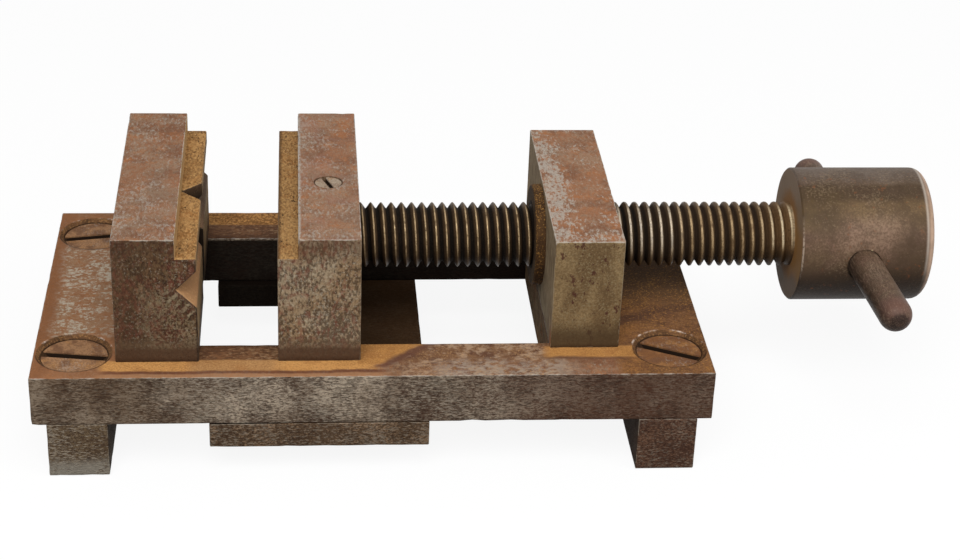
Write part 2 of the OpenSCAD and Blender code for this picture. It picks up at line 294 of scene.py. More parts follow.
# %% [markdown]
# A finish is painted in coats, from the steel outwards: each coat has a mask and a
# colour, and some also set the roughness or the share of bare metal. This small class
# keeps the running result and wires it to one Principled shader at the end. The colours
# are those seen on the real vise, written as the usual 0 to 255 values.

# %% Finishes, painted in coats

SRGB_KNEE = 0.04045
NOISE_STEP = (3.7, 1.9, 0.0)
FLECK_STEP = (17.3, 9.1, 5.7)
FACING_FROM = 0.75
FACING_FULL = 0.92
MIX_SOCKETS = {"FLOAT": (2, 3, 0), "RGBA": (6, 7, 2)}


def paint(red, green, blue):
    """A colour written as 0 to 255 values, as the linear colour that shaders use."""
    shades = [shade / 255 for shade in (red, green, blue)]
    linear = [s / 12.92 if s <= SRGB_KNEE else ((s + 0.055) / 1.055) ** 2.4 for s in shades]
    return (*linear, 1.0)


class Finish:
    """A material in the making: coats of colour, roughness, bare metal and relief."""

    def __init__(self, name, colour, rough, metal=0.0):
        self.material = bpy.data.materials.new(name)
        self.material.use_nodes = True
        self.tree = self.material.node_tree
        self.tree.nodes.clear()
        point = out(self.tree, "ShaderNodeTexCoord", output="Object")
        self.place = out(self.tree, "ShaderNodeVectorMath", {0: point, "Scale": 1 / MM}, operation="SCALE")
        self.normal = out(self.tree, "ShaderNodeTexCoord", output="Normal")
        self.x, self.y, self.z = split(self.tree, self.place)
        self.colour = paint(*colour)
        self.rough = rough
        self.metal = metal
        self.height = None
        self.shifts = 0

    def leaning(self, axis, low, high):
        """0 to 1 as the surface turns to face along the axis, from a low to a high cosine."""
        turned = {0: self.normal, 1: axis}
        cosine = out(self.tree, "ShaderNodeVectorMath", turned, "Value", operation="DOT_PRODUCT")
        return cosine.span(low, high)

    def facing(self, *axis):
        """1 where the surface faces along the axis."""
        return self.leaning(axis, FACING_FROM, FACING_FULL)

    def next_shift(self, step):
        """Moves on to a part of the noise that no other layer of this finish uses."""
        self.shifts += 1
        return tuple(self.shifts * part for part in step)

    def noise(self, size, detail=3.0, stretch=EVEN):
        """A plain noise value, with features of about the given size in millimetres."""
        scale = tuple(1 / (size * part) for part in stretch)
        mapped = {"Vector": self.place, "Location": self.next_shift(NOISE_STEP), "Scale": scale}
        spread = out(self.tree, "ShaderNodeMapping", mapped)
        sockets = {"Vector": spread, "Scale": 1.0, "Detail": detail, "Roughness": 0.6}
        return out(self.tree, "ShaderNodeTexNoise", sockets)

    def wander(self, value, size, reach):
        """A place along an axis, pushed to and fro by noise, so that its edges meander."""
        return value + (self.noise(size) - 0.5) * (2 * reach)

    def flecks(self, size, level, soft=0.05, stretch=EVEN, patch=8.0, share=0.35):
        sockets = {
            "Place": self.place,
            "Shift": self.next_shift(FLECK_STEP),
            "Stretch": stretch,
            "Size": size,
            "Patch Size": patch,
            "Patch Share": share,
            "Level": level,
            "Softness": soft,
        }
        return out(self.tree, "ShaderNodeGroup", sockets, "Mask", node_tree=flecks)

    def attribute(self, name):
        return out(self.tree, "ShaderNodeAttribute", output="Fac", attribute_name=name)

    def edges(self, width, ragged=1.0):
        """The rubbed strip along the corners, of about the given width in millimetres."""
        distance = self.attribute("edge_mm")
        sockets = {"Place": self.place, "Distance": distance, "Width": width, "Raggedness": ragged}
        return out(self.tree, "ShaderNodeGroup", sockets, "Mask", node_tree=rubbed)

    def blend(self, mask, first, second, kind="FLOAT"):
        low, high, result = MIX_SOCKETS[kind]
        return out(self.tree, "ShaderNodeMix", {0: mask, low: first, high: second}, result, data_type=kind)

    def coat(self, mask, colour, rough=None, metal=None, strength=1.0):
        """Lays a colour over what is there, and a roughness and metal share if given."""
        if strength != 1.0:
            mask = mask * strength
        self.colour = self.blend(mask, self.colour, paint(*colour), "RGBA")
        if rough is not None:
            self.rough = self.blend(mask, self.rough, rough)
        if metal is not None:
            self.metal = self.blend(mask, self.metal, metal)

    def speckle(self, mask, colour, size, level, soft=0.05, stretch=EVEN, patch=8.0, share=0.35, **coat):
        """Lays flecks of a colour on a mask, or all over if it is None, and gives the flecks."""
        found = self.flecks(size, level, soft, stretch, patch, share)
        self.coat(found if mask is None else mask * found, colour, **coat)
        return found

    def cloud(self, mask, colour, size, low, high, **coat):
        """Lays soft clouds of a colour on a mask, or all over if it is None."""
        found = self.noise(size).span(low, high)
        self.coat(found if mask is None else mask * found, colour, **coat)

    def raise_by(self, mask, height_mm):
        """Adds relief to the bump: positive stands proud, negative is a pit."""
        step = mask * height_mm
        self.height = step if self.height is None else self.height + step

    def close(self, shine=0.12):
        """Wires the coats to one shader and gives the material."""
        sockets = {"Base Color": self.colour, "Roughness": self.rough, "Metallic": self.metal}
        sockets["Specular IOR Level"] = shine
        if self.height is not None:
            sockets["Normal"] = out(self.tree, "ShaderNodeBump", {"Height": self.height, "Distance": MM})
        surface = out(self.tree, "ShaderNodeBsdfPrincipled", sockets)
        add(self.tree, "ShaderNodeOutputMaterial", {"Surface": surface})
        print("finish", self.material.name, "has", len(self.tree.nodes), "nodes")
        return self.material


print("a finish can be coated, speckled, clouded and raised")

# %% [markdown]
# Both jaws were surface ground, then rusted where they were left bare. Their tops are
# brown with orange clouds, under a worn grey film and a scatter of silver flecks that
# the grinding has drawn out from front to rear. The ledges hold ochre dust in coarse
# grains. These coverings come back on other blocks, so each is a function that paints
# on a mask.

# %% Rust and dust

RUST_RED = (145, 101, 73)
RUST_BROWN = (112, 76, 56)
RUST_ORANGE = (160, 104, 65)
WORN_FILM = (153, 138, 117)
BARE_GREY = (176, 168, 156)
EDGE_BRIGHT = (192, 184, 172)
DUST_GOLD = (168, 127, 79)
DUST_PALE = (196, 154, 100)
DUST_BROWN = (100, 70, 40)
PIT_BROWN = (58, 40, 28)
REFLECTED_PLATE_BROWN = (76, 55, 40)
SHADOW_BROWN = (20, 14, 10)
SLOT_DIRT_AND_SHADE = (36, 24, 15)
DULL = {"rough": 0.75, "metal": 0.0}
RUSTED = {"rough": 0.7, "metal": 0.0}
DUSTY = {"rough": 0.9, "metal": 0.0}
RUBBED = {"rough": 0.4, "metal": 0.2}
POLISHED = {"rough": 0.4, "metal": 0.1}
GROUND_GRAIN = (0.8, 1.7, 1.0)
SILVER_ABOVE_FILM = 0.075


def rust_top(finish, mask, level=0.5, film_share=0.42, gather=None, crowding=0.045, silver_share=0.5):
    """Brown rust with clouds and silver flecks, which crowd together where gather is 1."""
    finish.coat(mask, RUST_RED, rough=0.66, metal=0.0)
    finish.cloud(mask, RUST_BROWN, 5.0, 0.42, 0.62, strength=0.7)
    finish.cloud(mask, RUST_ORANGE, 3.4, 0.52, 0.68, strength=0.7)
    finish.speckle(
        mask, WORN_FILM, 0.7, level, soft=0.09, stretch=GROUND_GRAIN, patch=7.0, rough=0.55,
        strength=film_share,
    )
    silver_level = level + SILVER_ABOVE_FILM
    if gather is not None:
        silver_level = silver_level - gather * crowding
    silver = finish.speckle(
        mask, BARE_GREY, 0.68, silver_level, soft=0.06, stretch=GROUND_GRAIN, patch=5.0, share=0.3,
        rough=0.48, metal=0.1, strength=silver_share,
    )
    finish.speckle(mask, PIT_BROWN, 0.3, 0.54, soft=0.07, share=0.1, strength=0.3)
    finish.raise_by(mask * silver, 0.015)


def ledge_dust(finish, mask):
    """Ochre dust in coarse grains, with small dark holes."""
    finish.coat(mask, DUST_GOLD, **DUSTY)
    finish.cloud(mask, (156, 106, 58), 4.0, 0.45, 0.65, strength=0.6)
    finish.speckle(mask, DUST_PALE, 0.55, 0.52, stretch=GROUND_GRAIN, share=0.2, strength=0.6)
    dark = finish.speckle(
        mask, DUST_BROWN, 0.5, 0.53, soft=0.045, stretch=GROUND_GRAIN, share=0.2, strength=0.5
    )
    finish.speckle(
        mask, PIT_BROWN, 0.45, 0.6, soft=0.03, stretch=GROUND_GRAIN, share=0.3, patch=5.0, strength=0.85
    )
    finish.raise_by(mask * (1.0 - dark), 0.06)


print("rust and dust are functions, ready to lay on a mask")

# %% [markdown]
# The two jaws are the same block cut from one bar, so their fronts share a stain: grey
# steel, brown pits that run upright with the grain, a browner top and, where the jaw meets
# the plate, a dark band painted as the reflection of the dark plate in the ground steel.
# The corners of the top are rubbed bright, and dust has browned the others.

# %% Stain on a jaw's sides


def jaw_sides(finish, high, pale, pit_level, pit_share):
    """Pits and flecks on the upright faces, with the browner top."""
    finish.cloud(None, pale, 6.0, 0.4, 0.62, strength=0.75)
    finish.speckle(
        None, (84, 64, 46), 0.35, 0.5, soft=0.09, stretch=(1.0, 1.0, 1.6), share=0.1, strength=0.45
    )
    pits = finish.speckle(
        None, PIT_BROWN, 0.55, pit_level, soft=0.04, stretch=(0.9, 0.9, 1.6), share=0.28, **DULL,
        strength=pit_share,
    )
    finish.raise_by(pits, -0.05)
    finish.speckle(None, (178, 168, 148), 0.4, 0.58, share=0.15, rough=0.45, metal=0.15, strength=0.45)
    finish.speckle(
        None, (118, 66, 52), 1.0, 0.555, stretch=(0.9, 0.9, 1.5), share=0.25, **RUSTED, strength=0.5
    )
    brow = finish.z.span(-6.0, -1.0, high.z)
    finish.coat(brow, (86, 60, 42), strength=0.5)


def foot_band_and_reflection(finish, low):
    """A grey-olive band along the foot of a block, and below it a dark smooth band painted as the
    reflection of the plate.
    """
    up = finish.z - low.z - finish.noise(9.0) * 0.8
    finish.coat(up.span(5.6, 3.2), (92, 74, 56), strength=0.55)
    # painted reflection: the dark plate seen in the ground steel, darkest at the very foot
    finish.coat(up.span(3.2, 2.0), REFLECTED_PLATE_BROWN, rough=0.5, metal=0.0, strength=0.85)
    finish.coat(up.span(1.0, 0.0), PIT_BROWN, strength=0.6)


def jaw_corners(finish, high):
    """Bright rubbed corners round the top, and faint ones lower down."""
    upper = finish.z.span(-1.2, -0.7, high.z)
    finish.coat(finish.edges(0.18, 1.3) * upper, EDGE_BRIGHT, **RUBBED, strength=0.6)
    faint = finish.edges(0.16, 1.4) * (1.0 - upper)
    finish.coat(faint, (134, 120, 100), rough=0.45, metal=0.1, strength=0.35)


print("stain on the jaws: three functions")

# %% [markdown]
# The fixed jaw has the square vees. Its front is dark, smooth at the left and speckled
# towards the level vee, with slanting marks from the cutter just below the vee and a tan
# flank inside it. The marks are ridges of bump as well as colour. The step above the
# ledge has caught the same ochre dust as the ledge; it and the inner face are painted
# paler, as painted light on faces that the lamps leave dim.

# %% Finish of the fixed jaw

LEDGE_BELOW_TOP = 2.2
LEDGE_DEPTH = 3.8
LEDGE_DROP = 3.9
VEE_DEPTH = 3.7
VEE_ABOVE_PLATE = 15.2
MARK_PITCH = 0.78
SLANT = math.sqrt(0.5)

vee_z = plate_high.z + VEE_ABOVE_PLATE


def cutter_marks(steel):
    """Slanting ridges beside the lower flank of the level vee, on the front alone."""
    down = vee_z - steel.z
    past_vee = steel.x - (fixed_high.x - VEE_DEPTH)
    away = (past_vee - down) * -SLANT
    beside = (
        away.band(0.4, 3.0, 0.4)
        * steel.x.span(-7.5, -4.5, fixed_high.x)
        * down.span(-0.5, 1.0)
        * steel.facing(0, -1, 0)
    )
    along = (steel.x + down) * (math.pi / MARK_PITCH * SLANT)
    phase = along + steel.noise(1.2) * 5.0
    ridge = phase.calc("SINE").span(-0.2, 0.6)
    worn_marks = beside * steel.noise(1.1).span(0.36, 0.56)
    steel.coat(worn_marks, (58, 42, 30), strength=0.65)
    steel.coat(worn_marks * ridge, (156, 140, 112), strength=0.75)
    steel.raise_by(worn_marks * ridge, 0.06)


def vee_flanks(steel):
    """Tan on the front of the level vee's lower flank; elsewhere both vees are painted dark as shade,
    darkest below the ledge.
    """
    flank = steel.facing(SLANT, 0, SLANT)
    # painted shade: the flank is dark further back, under the ledge, and tan only towards the front
    steel.coat(flank, (84, 62, 44), rough=0.6, metal=0.0, strength=0.9)
    front_flank = flank * steel.y.span(46, 9, fixed_low.y)
    steel.coat(front_flank, (182, 136, 94), rough=0.6, strength=0.9)
    steel.speckle(front_flank, (206, 162, 112), 0.5, 0.56, soft=0.06, share=0.2, strength=0.5)
    # painted shade in the upright vee
    upright = steel.facing(SLANT, SLANT, 0) | steel.facing(SLANT, -SLANT, 0)
    steel.coat(upright, (72, 54, 40), rough=0.7, strength=0.8)
    below_ledge = steel.facing(SLANT, -SLANT, 0) * steel.z.span(-4, -7, fixed_high.z)
    steel.coat(below_ledge, SHADOW_BROWN, rough=0.8, strength=0.8)


def fixed_jaw_finish():
    steel = Finish("fixed jaw steel", (102, 74, 51), rough=0.6, metal=0.03)
    jaw_sides(steel, fixed_high, (106, 87, 62), 0.5, 0.85)
    to_left = steel.wander(steel.x, 5.0, 4.5)
    smooth_left = to_left.span(7.5, 3.0, fixed_low.x) * (1.0 - steel.facing(-1, 0, 0))
    steel.coat(smooth_left, (82, 62, 44), rough=0.55, strength=0.42)
    right_part = to_left.span(4.0, 8.0, fixed_low.x)
    below_brow = steel.z.span(-5.0, -9.0, fixed_high.z)
    speckle = right_part * below_brow * steel.flecks(0.5, 0.51, soft=0.045)
    steel.coat(speckle, (142, 124, 96), strength=0.6)
    # painted light: the inner face is painted paler, as it faces away from the key lamp
    inner = steel.facing(1, 0, 0)
    steel.coat(inner, (180, 150, 110), **RUSTED, strength=0.8)
    steel.speckle(inner, PIT_BROWN, 0.5, 0.54, strength=0.6)
    cutter_marks(steel)
    foot_band_and_reflection(steel, fixed_low)
    vee_flanks(steel)

    top = steel.facing(0, 0, 1)
    at_front = steel.wander(steel.y, 8.0, 8.0).span(24, 6, fixed_low.y)
    rust_top(steel, top, gather=at_front * 0.5)
    ledge = top * steel.z.span(-1.5, -LEDGE_BELOW_TOP, fixed_high.z)
    ledge_dust(steel, ledge)
    # painted light on the step wall, over the ochre dust
    step_z = fixed_high.z - LEDGE_DROP
    step_wall = inner * steel.z.span(-0.3, 0.1, step_z)
    steel.coat(step_wall, (206, 166, 114), rough=0.8, strength=0.85)
    jaw_corners(steel, fixed_high)
    front = steel.facing(0, -1, 0) * steel.z.span(3, 6, fixed_low.z)
    steel.speckle(
        front, (98, 54, 42), 0.7, 0.545, stretch=(0.9, 0.9, 1.5), patch=6.0, share=0.3, strength=0.4
    )
    steel.speckle(
        front, (44, 29, 21), 0.42, 0.535, soft=0.045, stretch=(0.9, 0.9, 1.4), patch=6.0, share=0.25,
        strength=0.45,
    )
    return steel.close(shine=0.08)


fixed_steel = fixed_jaw_finish()

# %% [markdown]
# The moving jaw is the greyer one: pale olive steel, pitted all over, with a few red
# spots. Its ledge lies on the left, and dark gaps show at two sides of the retaining
# screw's head.

# %% Finish of the moving jaw

REAR_Y = (-8, 8)

retain_low, retain_high = box_mm("retaining_screw")
retain_x = (retain_low.x + retain_high.x) / 2
retain_y = (retain_low.y + retain_high.y) / 2
retain_r = (retain_high.x - retain_low.x) / 2


def ring_radius(across, back):
    """Length of an offset, for rings round a screw or the spindle."""
    return (across * across + back * back).calc("SQRT")


def moving_jaw_finish():
    steel = Finish("moving jaw steel", (146, 120, 90), rough=0.58, metal=0.03)
    jaw_sides(steel, moving_high, (164, 146, 120), 0.51, 0.72)
    foot_band_and_reflection(steel, moving_low)
    top = steel.facing(0, 0, 1)
    by_ledge = steel.wander(steel.x, 5.0, 4.0).span(9, 4, moving_low.x)
    at_rear = steel.wander(steel.y, 8.0, 6.0).span(*REAR_Y)
    rust_top(steel, top, gather=by_ledge * (at_rear | 0.5))
    rose = top * steel.noise(7.0).span(0.48, 0.64)
    steel.coat(rose, (146, 104, 86), strength=0.35)
    ledge = top * steel.z.span(-1.5, -LEDGE_BELOW_TOP, moving_high.z)
    ledge_dust(steel, ledge)
    outer_lip = ledge * steel.x.span(0.9, 0.2, moving_low.x)
    steel.coat(outer_lip, (74, 50, 32), strength=0.7)
    across = steel.x - retain_x
    radius = ring_radius(across, steel.y - retain_y)
    gap_ring = top * radius.span(0.35, 0.1, retain_r)
    at_sides = abs(across).span(0.6 * retain_r, 0.95 * retain_r)
    steel.coat(gap_ring * at_sides, SHADOW_BROWN, rough=0.8, strength=0.85)
    steel.coat(gap_ring, (84, 60, 42), strength=0.4)
    jaw_corners(steel, moving_high)
    step_x = moving_low.x + LEDGE_DEPTH
    inner_corner = steel.z.span(-0.8, -0.3, moving_high.z) * steel.x.span(0.7, 0.2, step_x)
    rubbed_bits = inner_corner * steel.flecks(0.8, 0.46)
    steel.coat(rubbed_bits, (178, 172, 162), **RUBBED, strength=0.6)
    return steel.close()


moving_steel = moving_jaw_finish()

# %% [markdown]
# The nut block is smoother: an olive-brown film over the front, a few purple-brown
# spots, a darker foot with a painted reflection of the plate along its bottom, and the
# same rust on top with more silver. Its inner side is streaked where chips slide down,
# and orange at the bottom where they lie.

# %% Finish of the nut block


def block_finish():
    steel = Finish("nut block steel", (142, 118, 83), rough=0.56, metal=0.02)
    clouds = steel.noise(7.0, stretch=(1.0, 1.0, 2.0)).span(0.4, 0.62)
    steel.coat(clouds, (102, 80, 54), strength=0.85)
    steel.speckle(None, (80, 60, 40), 0.35, 0.5, soft=0.08, share=0.1, strength=0.5)
    steel.speckle(None, (150, 136, 104), 0.38, 0.57, share=0.15, strength=0.45)
    steel.speckle(
        None, (72, 42, 34), 1.5, 0.6, soft=0.02, stretch=(0.8, 1.0, 1.3), share=0.1, **RUSTED, strength=0.85
    )
    foot = steel.z.span(7.5, 2.0, block_low.z)
    steel.coat(foot, (68, 53, 36), strength=0.85)
    # painted reflection of the dark plate along the block's bottom millimetre
    steel.coat(steel.z.span(1.0, 0.0, block_low.z), (52, 35, 22), strength=0.6)
    inner = steel.facing(-1, 0, 0)
    steel.coat(inner, (172, 153, 124), **DULL, strength=0.85)
    steel.speckle(
        inner, (104, 86, 66), 0.6, 0.5, soft=0.06, stretch=(1.0, 1.0, 5.0), share=0.2, strength=0.7
    )
    corner = inner * steel.y.span(3.5, 0.5, block_low.y)
    steel.coat(corner * steel.z.span(7, 0.0, block_low.z), (150, 84, 42), strength=0.7)
    by_window = steel.wander(steel.x, 4.0, 3.0).span(6, 2, block_low.x)
    at_front = steel.wander(steel.y, 6.0, 5.0).span(14, 3, block_low.y)
    gather = by_window | at_front * 0.6
    rust_top(steel, steel.facing(0, 0, 1), level=0.525, gather=gather, crowding=0.11, silver_share=0.72)
    upper = steel.z.span(-1.0, -0.5, block_high.z)
    steel.coat(steel.edges(0.2, 1.2) * upper, EDGE_BRIGHT, **RUBBED, strength=0.65)
    faint = steel.edges(0.18, 1.6) * (1.0 - upper)
    steel.coat(faint, (150, 136, 114), **POLISHED, strength=0.5)
    return steel.close(shine=0.08)


block_steel = block_finish()

# %% [markdown]
# The plate's sides are milled, so their stains run in short level dashes: brown to the
# left, silver in the middle, dark red to the right. The keeper and the foot bars have
# the same cut, so the dashes are a function too.

# %% Milled sides

DASH = (2.4, 1.0, 0.85)
DASHES = (
    (1.2, 0.02, 0.1, 12.0, 0.45, 0.4),
    (0.65, 0.045, 0.045, 7.0, 0.3, 0.7),
    (0.32, 0.01, 0.05, 9.0, 0.25, 0.75),
)


def milled_side(finish, pale, dark, level, scratch_share=0.5, dash=DASH):
    """Short level dashes of dark stain on grey steel, as a milling cutter leaves them."""
    finish.cloud(None, pale, 8.0, 0.42, 0.6, strength=0.75)
    for size, above, soft, patch, share, strength in DASHES:
        dashes = finish.speckle(
            None, dark, size, level + above, soft, dash, patch, share,
            rough=0.72, metal=0.0, strength=strength,
        )
    finish.raise_by(dashes, -0.04)
    finish.speckle(None, (46, 34, 29), 0.28, 0.57, stretch=(1.6, 1.0, 0.9), share=0.1, strength=0.55)
    finish.speckle(
        None, (174, 162, 144), 0.3, 0.55, soft=0.045, stretch=(2.8, 1.0, 0.8), patch=6.0, share=0.25,
        rough=0.45, metal=0.15, strength=scratch_share,
    )


print("milled sides: dashes", DASH[0], "times as long as they are wide")

# %% [markdown]
# The top of the plate is the richest surface of the vise. It has rust with silver flecks
# on the left, a dark path on the rails, a greyer stretch in front of the window, and
# brown grime to the right. Each is a coat whose mask is a stretch of X and Y, with an
# edge that noise makes wander.

# %% Finish of the base plate: rails and ends

SILVER_Y = (-18, 21)
HANDLED_X = 4
HANDLED_Y = (-21.5, -22.5)
GREY_X = (12, 36)
GREY_Y = (-26.5, -30.0)
STREAK_SLOPE = 0.35
STREAK_Y = (-15.5, -12.0)
SPINDLE_SHADOW_Y = (-13, 0)
RAIL_GRAIN = (2.2, 1.3, 1.0)
HANDLED_GRAIN = (1.4, 1.2, 1.0)


def left_end(steel, top):
    """Wispy silver flecks between the foot screws, and a plain brown outer margin."""
    x_soft = steel.wander(steel.x, 6.0, 2.0)
    y_soft = steel.wander(steel.y, 6.0, 3.0)
    end = top * steel.x.span(3, -1, fixed_low.x)
    steel.coat(end, (146, 99, 63), strength=0.6)
    patch = end * x_soft.span(1.0, 3.2, plate_low.x) * y_soft.band(*SILVER_Y, 2)
    steel.speckle(patch, (152, 128, 102), 0.8, 0.5, soft=0.09, patch=5.0, share=0.3, strength=0.45)
    steel.speckle(
        patch, (188, 180, 162), 0.55, 0.545, soft=0.06, stretch=(1.5, 1.3, 1.0), patch=4.0, share=0.3,
        rough=0.48, metal=0.1, strength=0.7,
    )
    margin = top * steel.x.span(3.8, 1.6, plate_low.x)
    steel.coat(margin, (128, 83, 52), strength=0.6)


def rubbed_rails(steel, top):
    """The path under the moving jaw: dark at the window, mottled and paler outwards."""
    y_soft = steel.wander(steel.y, 4.0, 1.2)
    outward = abs(y_soft) - window_half
    path = (
        top
        * steel.x.band(window_left - 1, window_right + 1, 0.6)
        * outward.span(0.8, -0.6, fixed_high.y - window_half)
    )
    steel.coat(path, (112, 77, 50), rough=0.65, strength=0.85)
    steel.speckle(
        path, (76, 49, 32), 0.55, 0.5, soft=0.06, stretch=RAIL_GRAIN, share=0.3, strength=0.75
    )
    steel.speckle(
        path, (160, 126, 92), 0.45, 0.56, stretch=RAIL_GRAIN, share=0.3, rough=0.5, strength=0.6
    )
    lip = path * outward.span(2.6, 0.2)
    steel.coat(lip, (72, 45, 28), strength=0.75)


def grey_stretch(steel, top):
    """The handled strip along the front edge, in front of the right half of the window."""
    x_soft = steel.wander(steel.x, 7.0, 5.0)
    y_soft = steel.wander(steel.y, 5.0, 2.0)
    brown = top * x_soft.band(HANDLED_X, block_low.x + 4, 3) * steel.y.span(*HANDLED_Y)
    steel.coat(brown, (120, 86, 61), strength=0.75)
    steel.speckle(
        brown, (92, 62, 47), 1.7, 0.53, soft=0.06, stretch=HANDLED_GRAIN, share=0.3, strength=0.85
    )
    steel.speckle(
        brown, (168, 140, 114), 1.2, 0.54, soft=0.07, stretch=HANDLED_GRAIN, share=0.3, strength=0.8
    )
    grey = top * x_soft.band(*GREY_X, 4) * y_soft.span(*GREY_Y)
    steel.speckle(
        grey, (162, 146, 130), 0.9, 0.48, soft=0.07, stretch=(1.6, 1.2, 1.0), rough=0.5, metal=0.08,
        strength=0.75,
    )
    steel.speckle(grey, (112, 76, 60), 0.6, 0.56, stretch=(1.8, 1.2, 1.0), share=0.3, strength=0.6)
    steel.speckle(brown, (184, 144, 100), 0.34, 0.58, soft=0.04, share=0.2, strength=0.55)


def right_end(steel, top):
    """Brown grime to the right of the nut block, with a painted shadow of the spindle to the rear, and gold
    grains.
    """
    y_soft = steel.wander(steel.y, 6.0, 2.5)
    end = top * steel.x.span(-2, 1, block_high.x)
    steel.coat(end, (124, 86, 54), **DULL, strength=0.85)
    by_block = end * steel.x.span(9, 2, block_high.x)
    steel.coat(by_block, (150, 102, 58), strength=0.6)
    steel.speckle(
        end, (92, 62, 44), 2.2, 0.52, soft=0.08, stretch=(1.6, 1.0, 1.0), patch=10.0, share=0.45,
        strength=0.7,
    )
    slant = (steel.x - block_high.x) * STREAK_SLOPE
    streak = (y_soft - slant).band(*STREAK_Y, 1.2)
    steel.coat(end * streak, (82, 56, 45), strength=0.75)
    # painted shadow: the spindle's shade on the plate behind its axis
    behind = end * y_soft.span(*SPINDLE_SHADOW_Y)
    steel.coat(behind, (71, 51, 31), strength=0.85)
    steel.speckle(end, (182, 130, 68), 0.36, 0.57, soft=0.04, share=0.2, strength=0.5)
    steel.speckle(end, (64, 43, 27), 0.38, 0.52, soft=0.07, share=0.15, strength=0.45)


print("rails and ends of the plate: four functions")

# %% [markdown]
# Gold dust lies where no jaw rubs: in a strip in front of the jaws, in a wedge that the
# moving jaw has pushed up on its right, beside the nut block and along the rear edge. The
# dust in the wedge and beside the block is painted a darker gold, as shade. A brown tide
# line runs in front of all but the last. The foot screws sit in cones with dust grains,
# painted shadow in the gap round each head and a painted dark crevice in front, and a
# rubbed rim behind with painted highlights.

# %% Finish of the base plate: dust and screw sinks

DUST_DEEP = 3.3
TIDE_WIDE = 1.0
WEDGE_SLOPE = 1.09
WEDGE_END = 2.4
SINK_WIDTH = 0.8

foot_low, foot_high = box_mm("foot_screw_1")
foot_screw_x = abs(foot_low.x + foot_high.x) / 2
foot_screw_y = abs(foot_low.y + foot_high.y) / 2
foot_head_r = (foot_high.x - foot_low.x) / 2


def plate_dust(steel, top):
    """Gold dust beside the blocks, its brown tide lines, and the strip along the rear."""
    y_wavy = steel.wander(steel.y, 7.0, 0.8)
    x_soft = steel.wander(steel.x, 5.0, 2.0)
    jaw_front = fixed_low.y
    front = (
        top
        * y_wavy.band(-DUST_DEEP, 0.5, 0.45, jaw_front)
        * x_soft.band(fixed_low.x - 3, moving_high.x + 3, 1.5)
    )
    slide = (steel.y - jaw_front) * WEDGE_SLOPE
    past_line = x_soft - slide
    wedge = (
        top
        * past_line.span(1.0, -1.4, WEDGE_END)
        * steel.x.band(moving_high.x - 0.5, WEDGE_END + 9, 0.4)
        * y_wavy.band(jaw_front - 1.5, -window_half + 0.5, 0.6)
    )
    by_block = (
        top
        * x_soft.band(block_low.x - 0.5, block_high.x + 4, 1.5)
        * y_wavy.band(-DUST_DEEP, 0.5, 0.6, block_low.y)
    )
    rear = top * steel.y.span(-0.4, 0.3, fixed_high.y) * steel.x.span(-2, 1, fixed_low.x)
    shaded = wedge | by_block
    dust = front | rear | shaded
    steel.coat(dust, (202, 148, 86), **DUSTY, strength=0.9)
    # painted shade: the dust in the wedge and beside the block is a darker gold
    steel.coat(shaded, (172, 121, 66), strength=0.7)
    steel.coat(front * x_soft.band(window_left, moving_low.x, 2), (162, 124, 86), strength=0.6)
    steel.cloud(dust, (154, 104, 60), 5.0, 0.46, 0.66, strength=0.5)
    steel.speckle(dust, (130, 88, 48), 0.34, 0.52, soft=0.08, share=0.2, strength=0.5)
    steel.speckle(dust, (214, 168, 108), 0.32, 0.6, soft=0.04, share=0.2, strength=0.6)
    steel.speckle(
        rear, (98, 64, 38), 0.5, 0.5, soft=0.04, stretch=(1.2, 1.6, 1.0), share=0.25, strength=0.7
    )

    tide_x = x_soft.band(fixed_low.x - 3, moving_high.x + 5, 2)
    tide_y = y_wavy.band(-TIDE_WIDE, 0.0, 0.35, jaw_front - DUST_DEEP)
    lip = top * tide_x * y_wavy.span(-0.6, -1.2, jaw_front - DUST_DEEP)
    steel.coat(lip, (160, 117, 83), strength=0.75)
    steel.coat(top * tide_x * tide_y, (96, 57, 41), strength=0.72)
    bend = (
        top
        * past_line.band(-0.2, 2.6, 1.0, WEDGE_END)
        * steel.y.band(jaw_front - 2.5, -window_half, 0.5)
    )
    steel.coat(bend, (94, 60, 48), strength=0.7)
    block_tide_y = y_wavy.band(-TIDE_WIDE, 0.0, 0.5, block_low.y - DUST_DEEP)
    block_tide = top * block_tide_y * x_soft.band(block_low.x, block_high.x + 2, 2)
    steel.coat(block_tide, (98, 68, 50), strength=0.65)


def screw_sinks(steel):
    """The cones round the foot screws: dark, with painted shadow in the gap round the head, a painted dark
    crevice in front, and a rubbed rim behind with painted highlights.
    """
    across = abs(steel.x) - foot_screw_x
    screw_y = steel.y.calc("SIGN") * foot_screw_y
    back = steel.y - screw_y
    radius = ring_radius(across, back)
    rim_r = foot_head_r + SINK_WIDTH
    cone = radius.span(0.1, -0.1, rim_r) * steel.z.span(-4, -3, plate_high.z)
    steel.coat(cone, (104, 72, 46), rough=0.8, metal=0.0, strength=0.9)
    steel.cloud(cone, (60, 42, 28), 3.0, 0.42, 0.6, strength=0.55)
    steel.speckle(cone, (176, 130, 80), 0.4, 0.54, soft=0.06, share=0.2, strength=0.45)
    gap = cone * radius.span(0.22, 0.05, foot_head_r)
    steel.coat(gap, SHADOW_BROWN, strength=0.75)
    rim = radius.band(-0.1, 0.2, 0.1, rim_r) * steel.z.span(-0.5, -0.2, plate_high.z)
    in_front = back.span(0.0, -2.5)
    # painted shade in the crevice between the head and the rim in front
    steel.coat(rim * in_front, (44, 29, 19), strength=0.85)
    # painted highlights on the rubbed rim behind the head
    sink_glints = rim * back.span(1.0, 2.5) * steel.noise(2.8).span(0.5, 0.64)
    steel.coat(sink_glints, (222, 204, 188), **RUBBED, strength=0.65)


print("dust and sinks of the plate: two functions")

# %% [markdown]
# Inside the window the walls are painted nearly black, as shade, and only the end of the
# window under the nut block is paler, with brown streaks. The underside is a dull dark
# brown. The last coats are the bright line along the upper edges and dark specks on the
# front.

# %% Finish of the base plate

BROWN_LEFT_X = (-28, -50)
RED_RIGHT_X = (6, 36)


